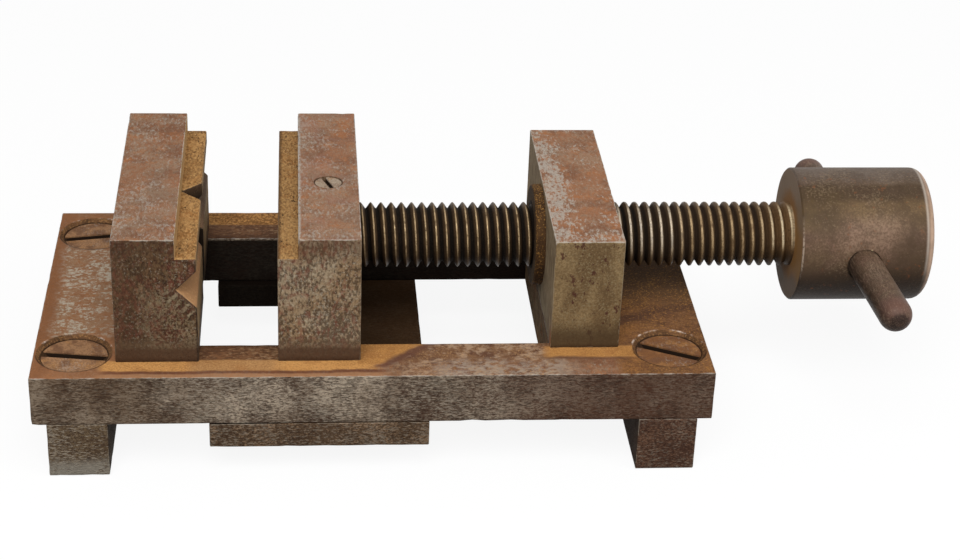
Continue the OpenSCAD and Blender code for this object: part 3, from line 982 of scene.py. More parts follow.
def plate_finish():
    steel = Finish("base plate steel", (140, 124, 106), rough=0.6, metal=0.04)
    milled_side(steel, (192, 175, 153), (67, 47, 36), 0.5)
    steel.coat(steel.wander(steel.x, 9.0, 6.0).span(*BROWN_LEFT_X), (86, 64, 44), strength=0.5)
    steel.coat(steel.wander(steel.x, 9.0, 8.0).span(*RED_RIGHT_X), (72, 42, 28), strength=0.71)
    top = steel.facing(0, 0, 1)
    rust_top(steel, top, level=0.56, film_share=0.5, silver_share=0.6)
    left_end(steel, top)
    rubbed_rails(steel, top)
    grey_stretch(steel, top)
    right_end(steel, top)
    plate_dust(steel, top)
    screw_sinks(steel)
    inside = (
        steel.x.band(window_left - 0.4, window_right + 0.4, 0.1)
        * steel.y.band(-window_half - 0.4, window_half + 0.4, 0.1)
        * steel.z.span(-0.25, -0.7, plate_high.z)
    )
    # painted shade: the window's walls and floor are kept nearly black
    steel.coat(inside, SHADOW_BROWN, **DUSTY, strength=0.95)
    end_wall = inside * steel.facing(-1, 0, 0)
    steel.coat(end_wall, (150, 126, 98), strength=0.85)
    steel.speckle(
        end_wall, (90, 70, 54), 0.6, 0.5, soft=0.06, stretch=(1.0, 1.0, 4.0), share=0.2, strength=0.7
    )
    steel.speckle(end_wall, (150, 94, 50), 0.7, 0.57, strength=0.6)
    steel.coat(steel.facing(0, 0, -1), (74, 54, 40), **DULL, strength=0.7)
    upper = steel.z.span(-0.9, -0.5, plate_high.z) * (1.0 - inside)
    steel.coat(steel.edges(0.16, 1.1) * upper, EDGE_BRIGHT, **RUBBED, strength=0.6)
    steel.speckle(
        steel.facing(0, -1, 0), (40, 27, 20), 0.34, 0.535, soft=0.035, stretch=(3.2, 1.0, 0.8), patch=6.0,
        share=0.3, strength=0.52,
    )
    return steel.close(shine=0.08)


plate_steel = plate_finish()

# %% [markdown]
# The keeper, the guide and the foot bars are offcuts of the same milled stock. They get
# the dashes again, in darker tones below and redder ones on the right, and the left foot
# is worn bare where it stands on the table. Their shaded sides, and what looks into the
# window, are painted nearly black as shade, darkest in the moving jaw's shadow.

# %% Finish of the keeper, the guide and the foot bars

RIGHT_SIDE = [(1, 0, 0)]
LEFT_SIDE = [(-1, 0, 0)]
BOTH_ENDS = LEFT_SIDE + RIGHT_SIDE


def offcut_finish(name, pale, dark, level, shaded, bare_below=None, in_window=False, scratch_share=0.5):
    """A milled offcut whose shaded sides are painted dark, as shade."""
    steel = Finish(name, pale, rough=0.65, metal=0.03)
    milled_side(steel, pale, dark, level, scratch_share, dash=(1.5, 1.0, 0.9))
    if bare_below is not None:
        bare = steel.wander(steel.z, 5.0, 1.0).span(1.5, -1.5, bare_below)
        worn = bare * steel.flecks(0.5, 0.46, soft=0.08, stretch=DASH)
        steel.coat(worn, (146, 140, 128), rough=0.48, metal=0.1, strength=0.7)
    # painted shade on the sides that face into shadow
    for side in shaded:
        steel.coat(steel.facing(*side), (42, 31, 23), rough=0.85, metal=0.0, strength=0.75)
    steel.coat(steel.edges(0.16, 1.3), (176, 166, 150), rough=0.45, metal=0.1, strength=0.4)
    if in_window:
        # painted shade: the keeper's top as seen through the window
        top = steel.facing(0, 0, 1)
        steel.coat(top, (54, 36, 20), **DUSTY, strength=0.92)
        # painted shadow of the moving jaw on the keeper
        jaw_shadow = top * steel.x.span(1.0, -0.5, moving_low.x)
        steel.coat(jaw_shadow, (14, 10, 8), strength=0.9)
        level_faces = top | steel.facing(0, 0, -1)
        # painted shade on the keeper's legs inside the window
        legs = steel.y.band(-window_half - 1, window_half + 1, 0.3) * (1.0 - level_faces)
        steel.coat(legs, (15, 11, 8), **DUSTY, strength=0.96)
    return steel.close(shine=0.05)


keeper_steel = offcut_finish(
    "keeper steel", (140, 114, 89), (60, 44, 32), 0.48, BOTH_ENDS, in_window=True, scratch_share=0.34
)
left_foot_steel = offcut_finish(
    "left foot steel", (110, 92, 70), (64, 47, 36), 0.5, RIGHT_SIDE, bare_below=3.0
)
right_foot_steel = offcut_finish(
    "right foot steel", (106, 78, 61), (58, 38, 30), 0.48, LEFT_SIDE, scratch_share=0.26
)

# %% [markdown]
# The screws are rusted like the plate around them. Everything deeper than the face of the
# head is painted dark, partly dirt in the slot and partly painted shade, so height alone
# tells the slot from the face.

# %% Finish of the screws

FACE_DEPTH = (0.32, 0.2)
RIGHT_HALF_X = (-5, 5)
UNDER_TONES = ((112, 88, 68), (84, 62, 46))


def screw_finish(name, face_z, up, tone, cloud, right_tone=None):
    # the slot's colour: dirt with painted shade
    steel = Finish(name, SLOT_DIRT_AND_SHADE, rough=0.8)
    depth = (face_z - steel.z) * up
    face = depth.span(*FACE_DEPTH)
    steel.coat(face, tone, rough=0.66, metal=0.0)
    if right_tone is not None:
        steel.coat(face * steel.x.span(*RIGHT_HALF_X), right_tone)
    steel.cloud(face, cloud, 3.0, 0.44, 0.6, strength=0.8)
    steel.cloud(face, (164, 118, 70), 2.6, 0.52, 0.66, strength=0.55)
    steel.speckle(
        face, BARE_GREY, 0.5, 0.58, stretch=GROUND_GRAIN, patch=5.0, rough=0.5, metal=0.1, strength=0.3
    )
    grain = steel.speckle(face, (84, 56, 38), 0.32, 0.52, soft=0.08, share=0.1, strength=0.45)
    steel.raise_by(face * grain, -0.02)
    return steel.close()


under_low = box_mm("fixed_jaw_screw_1")[0]
below_low = box_mm("keeper_screw_1")[0]
foot_screw_steel = screw_finish(
    "foot screw steel", foot_high.z, 1, (156, 117, 83), (108, 75, 53), right_tone=(122, 82, 51)
)
block_screw_steel = screw_finish("block screw steel", under_low.z, -1, *UNDER_TONES)
keeper_screw_steel = screw_finish("keeper screw steel", below_low.z, -1, *UNDER_TONES)
retaining_steel = screw_finish("retaining screw steel", retain_high.z, 1, (164, 146, 126), (146, 124, 104))

# %% [markdown]
# Oil has turned the thread a dark bronze. Its crests are rubbed to a pale gold, and on
# the upper front side they carry painted highlights, silver just right of the nut. Its
# valleys are painted black as shade, the lower side next to the head is painted darker
# as shade, and next to the head it has rusted to a golden brown. The distance from the
# axis tells crest from valley, and it stays true when the spindle turns.

# %% Finish of the thread and the nut

THREAD_ROOT_MM = 5.15
THREAD_CREST_MM = 6.35
LIT_ABOVE = (-2.6, 1.8)
LIT_Y = (1.0, -3.0)


def from_axis(finish):
    """Distance of a point from the spindle's axis."""
    return ring_radius(finish.y, finish.z - axis_z)


def thread_finish():
    steel = Finish("thread steel", (76, 58, 40), rough=0.45, metal=0.1)
    radius = from_axis(steel)
    steel.cloud(None, (56, 41, 28), 2.5, 0.42, 0.62, strength=0.7)
    right = steel.x.span(-2, 3, block_high.x)
    steel.coat(right, (74, 59, 44), strength=0.6)
    by_head = steel.wander(steel.x, 4.0, 3.0).span(-26, -10, head_low.x)
    steel.coat(by_head, (92, 70, 45), rough=0.5, metal=0.0, strength=0.75)
    crest = radius.span(-0.16, -0.02, THREAD_CREST_MM)
    steel.coat(crest, (112, 92, 66), **POLISHED, strength=0.7)
    # painted highlights: crests on the upper front side, where the key lamp falls, are painted brighter
    above = steel.z - axis_z
    lit_side = above.span(*LIT_ABOVE) * steel.y.span(*LIT_Y)
    patchy = steel.noise(2.0).span(0.3, 0.55)
    crest_highlight = crest * lit_side * patchy
    steel.coat(crest_highlight, (204, 176, 134), rough=0.36, metal=0.12, strength=0.75)
    dull = crest * steel.x.span(9, 16, block_high.x)
    steel.coat(dull, (104, 80, 52), strength=0.45)
    silver = crest * lit_side * steel.x.band(0.0, 13, 2, block_high.x)
    steel.coat(silver, (186, 178, 164), rough=0.34, metal=0.15, strength=0.62)
    # painted shade: the valleys are painted near black
    valley = radius.span(THREAD_CREST_MM - 0.3, THREAD_ROOT_MM + 0.25)
    steel.coat(valley, (10, 7, 5), rough=0.85, metal=0.0, strength=0.96)
    dusty = valley * steel.x.span(4, 12, block_high.x)
    steel.coat(dusty, (52, 38, 26), strength=0.6)
    rusty = steel.x.span(-8, -2, head_low.x)
    steel.coat(rusty, (116, 86, 54), rough=0.6, metal=0.0, strength=0.55)
    # painted shade on the lower side of the thread by the head
    low_side_shade = above.span(1.0, -2.5) * (1.0 - steel.x.span(0.0, 1, head_low.x))
    steel.coat(rusty * low_side_shade, (36, 25, 16), strength=0.7)
    # painted glints on the crests by the head
    glint = rusty * crest * lit_side * above.span(-1.0, 1.0)
    steel.coat(glint, (226, 208, 172), rough=0.4, strength=0.75)
    nicks = steel.speckle(None, (42, 30, 20), 0.4, 0.54, share=0.2, strength=0.4)
    steel.raise_by(nicks, -0.02)
    return steel.close(shine=0.1)


def nut_finish():
    steel = Finish("nut steel", (76, 53, 31), **DULL)
    steel.cloud(None, (52, 35, 22), 2.5, 0.42, 0.62, strength=0.75)
    grains = steel.speckle(
        None, (178, 131, 70), 0.34, 0.57, soft=0.04, share=0.25, rough=0.7, strength=0.6
    )
    steel.raise_by(grains, 0.05)
    face = steel.facing(-1, 0, 0)
    steel.coat(face, (56, 43, 32), **DULL, strength=0.85)
    steel.speckle(face, (98, 82, 62), 0.6, 0.52, strength=0.5)
    inside = from_axis(steel).span(0.5, 0.2, THREAD_CREST_MM)
    steel.coat(inside, SHADOW_BROWN, rough=0.8, metal=0.0, strength=0.9)
    return steel.close(shine=0.08)


thread_steel = thread_finish()
nut_steel = nut_finish()

# %% [markdown]
# The head and its bar were turned, not ground, and hands have kept them smooth: a satin
# brown film with olive and purple clouds, fine turning lines, a rubbed rim at the left end
# of the head and a painted highlight on the rubbed right rim. The lower side of both is
# painted darker as shade, and the front of the head above the axis is painted a paler
# rose, partly as a highlight. The rims and the hole's edge are found by sums on the
# point's place, so they stay thin however large the faces are.

# %% Finish of the head and the bar

BAR_IN_HEAD_MM = 11.6
BAR_R_MM = 3.175
BAR_GAP_MM = 0.08
BAR_HOLE_R_MM = BAR_R_MM + BAR_GAP_MM
HEAD_R_MM = (head_high.z - head_low.z) / 2
HEAD_ROUND_MM = 2.2
HEAD_CHAMFER_MM = 0.3
COLLAR_R = (10.0, 7.0)
OLIVE_Y = (-11.5, -6.5)
DARK_Y = (-7.4, -3.4)
GREY_TOP_Y = (-4.4, -2.0)
ROSE_Y = (-8.0, -10.0)
LEFT_OLIVE_Y = (-4.0, -6.0)
BAR_LOW_SIDE = (-0.75, 0.0, -0.66)

bar_middle = Vector((head_low.x + BAR_IN_HEAD_MM, 0.0, axis_z))


def from_bar(finish):
    """Distance of a point from the middle line of the bar's hole."""
    tree = finish.tree
    offset = out(tree, "ShaderNodeVectorMath", {0: finish.place, 1: bar_middle}, operation="SUBTRACT")
    crossed = out(tree, "ShaderNodeVectorMath", {0: offset, 1: bar_along}, operation="CROSS_PRODUCT")
    return out(tree, "ShaderNodeVectorMath", {0: crossed}, output="Value", operation="LENGTH")


def soft_clouds(finish, tones):
    """Broad clouds of several tones, each given as (tone, size, share)."""
    for tone, size, share in tones:
        finish.cloud(None, tone, size, 0.44, 0.62, strength=share)


def satin_film(finish, grain_tone):
    """Dark blots and a fine grain, as handled steel has."""
    finish.speckle(None, (58, 45, 33), 1.5, 0.52, soft=0.09, patch=6.0, share=0.45, strength=0.42)
    grain = finish.speckle(None, grain_tone, 0.4, 0.5, soft=0.09, share=0.2, rough=0.52, strength=0.55)
    finish.speckle(None, (150, 128, 102), 0.42, 0.58, soft=0.06, share=0.3, rough=0.45, strength=0.3)
    finish.raise_by(grain, -0.015)


def head_tones(steel):
    """Bands of tone round the head, from the grey top through olive and rose, the rose partly a painted
    highlight, to a lower side painted dark as shade.
    """
    y_soft = steel.wander(steel.y, 5.0, 1.6)
    z_soft = steel.wander(steel.z, 6.0, 1.8)
    upper = steel.z.span(5, 9, axis_z)
    steel.coat(upper * y_soft.band(*OLIVE_Y, 1.5), (104, 83, 55), strength=0.7)
    steel.coat(upper * y_soft.band(*DARK_Y, 0.9), (56, 45, 33), strength=0.8)
    steel.coat(upper * y_soft.span(*GREY_TOP_Y), (98, 87, 78), strength=0.85)
    steel.coat(z_soft.band(1.5, 6.5, 1.5, axis_z), (112, 87, 73), strength=0.5)
    # painted highlight, partly: a paler rose on the front above the axis
    middle = steel.x.band(7, 19, 3, head_low.x) * y_soft.span(*ROSE_Y)
    steel.coat(middle * z_soft.band(2.5, 8.5, 1.5, axis_z), (150, 122, 102), strength=0.6)
    left = steel.x.span(11, 5, head_low.x)
    steel.coat(left * upper * y_soft.span(*LEFT_OLIVE_Y), (76, 61, 37), strength=0.65)
    right = steel.x.span(15, 22, head_low.x)
    steel.coat(right * z_soft.span(8, 3, axis_z), (70, 55, 43), strength=0.65)
    # painted shade: the head is painted darker towards its lower side
    steel.coat(z_soft.span(3.0, -2.5, axis_z), (70, 54, 41), strength=0.75)
    steel.coat(z_soft.span(-1.0, -6.5, axis_z), (30, 20, 13), strength=0.87)


def head_rims(steel, radius):
    """A rubbed rim at the left end of the head, a painted highlight on the rubbed right rim, and the paler
    rounded end.
    """
    worn = steel.flecks(0.6, 0.47, soft=0.07, patch=4.0, share=0.4)
    left_rim = (
        steel.x.span(0.4, 0.25, head_low.x)
        * radius.span(-0.3, -0.2, HEAD_R_MM)
        * steel.z.band(-2, 7, 2.5, axis_z)
    )
    steel.coat(left_rim * worn, (204, 184, 164), rough=0.42, metal=0.1, strength=0.6)
    cap = steel.leaning((1, 0, 0), 0.2, 0.6) * steel.noise(5.0).span(0.2, 0.7)
    steel.coat(cap, (206, 174, 150), rough=0.5, strength=0.85)
    # painted highlight along the right rim, brighter upwards
    rim_x = head_high.x - HEAD_ROUND_MM + 0.4
    right_rim_highlight = (
        steel.x.band(-0.1, 0.3, 0.3, rim_x)
        * radius.span(-0.8, -0.5, HEAD_R_MM)
        * steel.wander(steel.z, 4.0, 3.0).span(-6, 3, axis_z)
    )
    steel.coat(right_rim_highlight, (204, 190, 176), **POLISHED, strength=0.6)


def head_finish():
    steel = Finish("head steel", (116, 95, 74), rough=0.5, metal=0.0)
    soft_clouds(steel, [((90, 73, 55), 7.0, 0.5), ((112, 84, 74), 4.0, 0.45), ((100, 82, 56), 3.0, 0.4)])
    head_tones(steel)
    satin_film(steel, (78, 60, 45))
    # painted shade on the lower side of the head
    lower_side_shade = steel.wander(steel.z, 5.0, 1.5).span(0.0, -6.0, axis_z)
    steel.coat(lower_side_shade, (34, 23, 14), strength=0.62)
    radius = from_axis(steel)
    steel.raise_by(steel.noise(0.7, stretch=(0.4, 12.0, 12.0)), 0.012)
    steel.speckle(None, (126, 76, 46), 1.6, 0.63, soft=0.03, share=0.15, strength=0.4)
    inner = steel.facing(-1, 0, 0)
    steel.coat(inner, (150, 127, 104), rough=0.65, strength=0.75)
    steel.coat(inner * steel.z.span(2, -8, axis_z), (90, 74, 60), strength=0.6)
    soft_radius = steel.wander(radius, 3.0, 1.0)
    collar = inner * soft_radius.span(*COLLAR_R)
    steel.coat(collar, (146, 103, 58), **DULL, strength=0.75)
    belt = inner * steel.z.band(-5.0, 5.0, 2.0, axis_z) * steel.y.span(0.0, -4.0)
    steel.coat(belt, (150, 110, 62), **RUSTED, strength=0.7)
    head_rims(steel, radius)
    outside = radius.span(-1.2, -0.6, HEAD_R_MM)
    hole = from_bar(steel)
    ring = outside * hole.band(-0.1, 0.3, 0.12, BAR_HOLE_R_MM)
    # painted shadow in the gap on the left of the bar's hole
    left_part = steel.x.span(0.3, -1.5, bar_middle.x)
    steel.coat(ring * left_part, (30, 22, 15), rough=0.8, strength=0.85)
    # painted glints on the hole's rim
    glints = ring * steel.flecks(0.8, 0.58, soft=0.03)
    steel.coat(glints, (220, 200, 156), **POLISHED, strength=0.8)
    bore = (1.0 - outside) * hole.span(0.4, 0.2, BAR_HOLE_R_MM)
    steel.coat(bore, SHADOW_BROWN, rough=0.8, strength=0.9)
    return steel.close(shine=0.1)


def bar_finish():
    steel = Finish("bar steel", (96, 78, 62), rough=0.46, metal=0.0)
    soft_clouds(steel, [((84, 64, 49), 4.0, 0.7), ((94, 70, 58), 3.0, 0.6)])
    satin_film(steel, (64, 48, 37))
    tip = steel.attribute("tip_mm")
    red_end = steel.wander(tip, 2.0, 1.0).span(6.5, 4.5)
    steel.coat(red_end, (98, 70, 60), strength=0.7)
    # painted shade on the bar's lower side
    shaded_underside = steel.leaning(BAR_LOW_SIDE, -0.1, 0.75)
    steel.coat(shaded_underside, (44, 33, 26), strength=0.8)
    mark = steel.wander(tip, 1.2, 0.8).span(2.5, 1.3)
    steel.coat(mark, (30, 22, 18), rough=0.6, metal=0.0, strength=0.8)
    steel.speckle(
        None, (148, 124, 104), 0.4, 0.54, stretch=(0.7, 4.0, 0.7), share=0.3, rough=0.42, strength=0.26
    )
    return steel.close(shine=0.15)


head_steel = head_finish()
bar_steel = bar_finish()

# %% [markdown]
# A new block of steel has sharp corners, but an old one hasn't. A copy of each CAD block
# is merged, its outer corners are rounded, and it is cut into a grid so that corners can
# be nicked and every point can know how far it is from a corner. A modifier could round
# the corners too, but then the distance to the old corner would be lost.

# %% Worn blocks

MERGE = 1e-6
FLAT_ANGLE = math.radians(0.3)
CORNER_ANGLE = math.radians(30)
SHADE_ANGLE = math.radians(25)
STRAIGHT_EDGE = 1.6 * MM
CLOSE_ROWS = (0.55 * MM, 1.3 * MM)
ROW_GAP = 0.25 * MM
NICK_REACH = 0.42
NICK_SIZE = 2.2 * MM
NICK_PATCH = 7.0 * MM
NICK_SHIFT = Vector((3, 5, 7))
NICK_LEVEL = 0.03
CUT_SLACK = 1e-7
FAR_MM = 50.0


def merged_copy(node):
    """A CAD node as clean faces: doubles merged and flat neighbours joined."""
    block = bmesh.new()
    block.from_mesh(frame["nodes"][node].data)
    bmesh.ops.remove_doubles(block, verts=block.verts, dist=MERGE)
    bmesh.ops.dissolve_limit(block, angle_limit=FLAT_ANGLE, verts=block.verts, edges=block.edges)
    return block


def outer_corners(block):
    """The straight edges where two faces meet at an outer corner."""
    found = []
    for edge in block.edges:
        if len(edge.link_faces) == 2 and edge.is_convex and edge.calc_length() > STRAIGHT_EDGE:
            if edge.calc_face_angle() > CORNER_ANGLE:
                found.append(edge)
    return found


def distance_to(points, segments):
    """Distance from each point to the nearest of some straight segments."""
    nearest = np.full(len(points), FAR_MM * MM)
    for start, end in segments:
        along = end - start
        share = np.clip((points - start) @ along / (along @ along), 0, 1)
        gap = np.linalg.norm(points - start - share[:, None] * along, axis=1)
        nearest = np.minimum(nearest, gap)
    return nearest


def cut_rows(block, segments, spacing):
    """Cuts the block across X, Y and Z at even steps, and close to each corner."""
    corners = np.array([vert.co for vert in block.verts])
    for axis in range(3):
        low, high = corners[:, axis].min(), corners[:, axis].max()
        levels = list(np.arange(low + spacing, high, spacing))
        for level in np.unique(np.round(segments[:, :, axis].ravel(), 6)):
            levels += [level + side * row for row in CLOSE_ROWS for side in (-1, 1)]
        last = low
        for level in sorted(levels):
            if level - last < ROW_GAP or high - level < ROW_GAP:
                continue
            last = level
            normal = [0.0, 0.0, 0.0]
            normal[axis] = 1.0
            place = [0.0, 0.0, 0.0]
            place[axis] = level
            everything = block.verts[:] + block.edges[:] + block.faces[:]
            bmesh.ops.bisect_plane(block, geom=everything, dist=CUT_SLACK, plane_co=place, plane_no=normal)


def nick_corners(block, edge_mm, depth_mm):
    """Pushes some of the points on the rounded corners in, as knocks do."""
    block.normal_update()
    for vert, distance in zip(block.verts, edge_mm):
        if distance < NICK_REACH:
            knock = noise.noise(vert.co / NICK_SIZE) * noise.noise(vert.co / NICK_PATCH + NICK_SHIFT)
            vert.co -= vert.normal * max(0.0, knock - NICK_LEVEL) * depth_mm * MM


def new_piece(name, mesh, material, body, nodes):
    """Puts a finished mesh in the scene, on its body, in place of its CAD nodes."""
    mesh.materials.clear()
    mesh.materials.append(material)
    for face in mesh.polygons:
        face.use_smooth = True
    mesh.set_sharp_from_angle(angle=SHADE_ANGLE)
    piece = in_scene(name, mesh)
    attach(piece, body)
    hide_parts(*nodes)
    print(name, "has", sum(len(face.vertices) - 2 for face in mesh.polygons), "triangles")
    return piece


def write_attribute(mesh, name, values):
    attribute = mesh.attributes.new(name, "FLOAT", "POINT")
    attribute.data.foreach_set("value", np.asarray(values, np.float32))


def mesh_of(name, block):
    """Turns a finished bmesh into a mesh."""
    mesh = bpy.data.meshes.new(name)
    block.to_mesh(mesh)
    block.free()
    return mesh


def worn_block(name, node, material, body, rounding_mm=0.22, spacing_mm=1.6, nick_mm=0.6):
    """A CAD block with rounded, nicked corners that know how near each point is to them."""
    block = merged_copy(node)
    corners = outer_corners(block)
    segments = np.array([[vert.co[:] for vert in edge.verts] for edge in corners])
    rounding = {"offset": rounding_mm * MM, "segments": 2, "profile": 0.5, "affect": "EDGES"}
    bmesh.ops.bevel(block, geom=corners, clamp_overlap=True, **rounding)
    cut_rows(block, segments, spacing_mm * MM)
    points = np.array([vert.co for vert in block.verts])
    edge_mm = distance_to(points, segments) / MM
    nick_corners(block, edge_mm, nick_mm)
    mesh = mesh_of(name, block)
    write_attribute(mesh, "edge_mm", edge_mm)
    return new_piece(name, mesh, material, body, [node])


worn_block("worn_fixed_jaw", "fixed_jaw", fixed_steel, "base")
worn_block("worn_moving_jaw", "moving_jaw", moving_steel, "jaw")
worn_block("worn_nut_block", "nut_block", block_steel, "base")
worn_block("worn_base_plate", "base_plate", plate_steel, "base", spacing_mm=2.4)
worn_block("worn_keeper_plate", "keeper_plate", keeper_steel, "jaw", spacing_mm=2.4)
worn_block("worn_guide_block", "guide_block", keeper_steel, "jaw", spacing_mm=2.4)
worn_block("worn_left_foot", "left_foot_bar", left_foot_steel, "base", spacing_mm=2.0)
worn_block("worn_right_foot", "right_foot_bar", right_foot_steel, "base", spacing_mm=2.0)
worn_block("worn_retaining_screw", "retaining_screw", retaining_steel, "jaw", rounding_mm=0.1)

# %% [markdown]
# The thread is the one main piece whose shape follows a rule: its radius depends on how
# far a point is along the axis and around it. A spiral curve with a swept tooth would
# draw it too, but the tooth would cut into its neighbours. Here Geometry Nodes sweep a
# circle along the spindle's axis and then set every point's radius by the rule. The
# points of the axis carry the outer radius and the thread's depth, so the plain nose
# with its groove, the neck and the tail are the same tube with no depth.

# %% Geometry Nodes: a turned and threaded rod

PITCH_MM = 2.0
THREAD_DEPTH_MM = 1.2
CREST_PAST_BLOCK_MM = 0.25
VALLEY_SHARE = 0.05
STRAIGHT_SHARE = 0.62
ROUNDED_SHARE = 0.38


def threaded_rod_tree():
    tree, get = new_group(
        "threaded rod",
        "GeometryNodeTree",
        [
            ("Axis", GEOMETRY, None),
            ("Pitch", VALUE, 0.002),
            ("Crest At X", VALUE, 0.0),
            ("Axis Height", VALUE, 0.0),
            ("Sides", WHOLE, 64),
            ("Crest Share", VALUE, 0.1),
            ("Worn Crest Share", VALUE, 0.25),
            ("Worn From X", VALUE, 0.0),
            ("Material", MATERIAL, None),
        ],
        [("Rod", GEOMETRY)],
    )
    path = out(tree, "GeometryNodeMeshToCurve", {"Mesh": get["Axis"]})
    circle = out(tree, "GeometryNodeCurvePrimitiveCircle", {"Resolution": get["Sides"], "Radius": MM})
    swept = {"Curve": path, "Profile Curve": circle, "Fill Caps": True}
    tube = out(tree, "GeometryNodeCurveToMesh", swept)
    spot_x, spot_y, spot_z = split(tree, out(tree, "GeometryNodeInputPosition"))
    outer = out(tree, "GeometryNodeInputNamedAttribute", {"Name": "outer_radius"})
    depth = out(tree, "GeometryNodeInputNamedAttribute", {"Name": "thread_depth"})

    around = spot_z.calc("ARCTAN2", spot_y)
    turns = around / (2 * math.pi)
    along = (spot_x - get["Crest At X"]) / get["Pitch"]
    within = (along - turns).calc("FRACT")
    to_crest = abs(within - 0.5) * 2.0
    worn_start = get["Worn From X"] - get["Pitch"]
    worn = spot_x.span(worn_start, get["Worn From X"])
    spread = get["Worn Crest Share"] - get["Crest Share"]
    flat_share = get["Crest Share"] + worn * spread
    flat_from = 1.0 - flat_share
    ramp = {"Value": to_crest, "From Min": VALLEY_SHARE, "From Max": flat_from}
    flank = out(tree, "ShaderNodeMapRange", ramp)
    rounded = to_crest.span(-VALLEY_SHARE, 1.0)
    tooth = flank * STRAIGHT_SHARE + rounded * ROUNDED_SHARE
    radius = outer - depth * (1.0 - tooth)

    across = radius * around.calc("COSINE")
    upward = radius * around.calc("SINE")
    raised = upward + get["Axis Height"]
    target = out(tree, "ShaderNodeCombineXYZ", {0: spot_x, 1: across, 2: raised})
    shaped = out(tree, "GeometryNodeSetPosition", {"Geometry": tube, "Position": target})
    solid = out(tree, "GeometryNodeRealizeInstances", {"Geometry": shaped})
    coated = out(tree, "GeometryNodeSetMaterial", {"Geometry": solid, "Material": get["Material"]})
    add(tree, "NodeGroupOutput", {"Rod": coated})
    return tree


threaded_rod = threaded_rod_tree()


def settle(subject):
    """Turns an object's live modifiers into a plain mesh, and removes the object."""
    graph = bpy.context.evaluated_depsgraph_get()
    mesh = bpy.data.meshes.new_from_object(subject.evaluated_get(graph), depsgraph=graph)
    bpy.data.objects.remove(subject)
    return mesh


def run_tree(tree, mesh, values):
    """Runs a tree on a mesh, with each input found by its socket's identifier."""
    subject = in_scene("tree_subject", mesh)
    modifier = subject.modifiers.new(tree.name, "NODES")
    modifier.node_group = tree
    for item in tree.interface.items_tree:
        if item.item_type == "SOCKET" and item.in_out == "INPUT" and item.name in values:
            modifier[item.identifier] = values[item.name]
    return settle(subject)


def rod_mesh(points, material, sides, crest_share, worn_share):
    """Runs the tree on an axis, given as (x, radius, thread depth) in millimetres."""
    axis_mesh = bpy.data.meshes.new("rod_axis")
    places = [(x * MM, 0.0, 0.0) for x, _, _ in points]
    axis_mesh.from_pydata(places, [(i, i + 1) for i in range(len(places) - 1)], [])
    write_attribute(axis_mesh, "outer_radius", [radius * MM for _, radius, _ in points])
    write_attribute(axis_mesh, "thread_depth", [depth * MM for _, _, depth in points])
    values = {
        "Pitch": PITCH_MM * MM,
        "Crest At X": (block_low.x + CREST_PAST_BLOCK_MM) * MM,
        "Axis Height": axis_z * MM,
        "Sides": sides,
        "Crest Share": crest_share,
        "Worn Crest Share": worn_share,
        "Worn From X": block_high.x * MM,
        "Material": material,
    }
    return run_tree(threaded_rod, axis_mesh, values)


print("tree", threaded_rod.name, "has", len(threaded_rod.nodes), "nodes")

# %% [markdown]
# The spindle's axis is listed from the nose to the tail. The nose has the round groove
# that the retaining screw's pin runs in. The thread gets shallow beside the head, as it
# does where a die stops, but not at the jaw, because that end has to pass through the
# nut. The tail is drilled for the bar with a Boolean.

# %% Spindle

STEPS_PER_PITCH = 14
NOSE_R_MM = 4.75
GROOVE_R_MM = 1.68
GROOVE_OUT_MM = 4.2
TAIL_R_MM = 5.0
NECK_MM = 0.6
NECK_STEP_MM = 0.1
RUN_OUT_MM = 2.2
LAST_TURN_DEPTH = 0.35
SMALL_BREAK_MM = 0.3
GROOVE_STEPS = 13
JAW_GAP_MM = 0.1
SHOULDER_MM = 0.05
NECK_GAP_MM = 0.15
SHARP_CREST = 0.06
WORN_CREST = 0.2
ROD_SIDES = 64
DRILL_LONG_MM = 60

thread_left = moving_high.x + JAW_GAP_MM
thread_right = head_low.x - NECK_MM


def nose_points():
    """The plain nose, with a groove whose section is an arc."""
    half = math.sqrt(GROOVE_R_MM**2 - (GROOVE_OUT_MM - NOSE_R_MM) ** 2)
    start = spindle_low.x
    points = [(start, NOSE_R_MM - SMALL_BREAK_MM, 0.0), (start + SMALL_BREAK_MM, NOSE_R_MM, 0.0)]
    for step in np.linspace(-half, half, GROOVE_STEPS):
        points.append((retain_x + step, GROOVE_OUT_MM - math.sqrt(GROOVE_R_MM**2 - step**2), 0.0))
    points.append((thread_left - SHOULDER_MM, NOSE_R_MM, 0.0))
    return points


def thread_points():
    """The threaded length, cut to full depth at the jaw and running out at the head."""
    count = round((thread_right - thread_left) / PITCH_MM * STEPS_PER_PITCH)
    points = []
    for x in np.linspace(thread_left, thread_right, count + 1):
        fade = min(1.0, LAST_TURN_DEPTH + (thread_right - x) / RUN_OUT_MM)
        points.append((float(x), THREAD_CREST_MM, THREAD_DEPTH_MM * fade))
    return points


def tail_points():
    """The neck and the tail that is fixed in the head."""
    neck_r = THREAD_CREST_MM - NECK_STEP_MM
    return [
        (thread_right + NECK_GAP_MM, neck_r, 0.0),
        (head_low.x, neck_r, 0.0),
        (head_low.x + SHOULDER_MM, TAIL_R_MM, 0.0),
        (spindle_high.x - SMALL_BREAK_MM, TAIL_R_MM, 0.0),
        (spindle_high.x, TAIL_R_MM - SMALL_BREAK_MM, 0.0),
    ]


bar_low, bar_high = box_mm("tommy_bar")


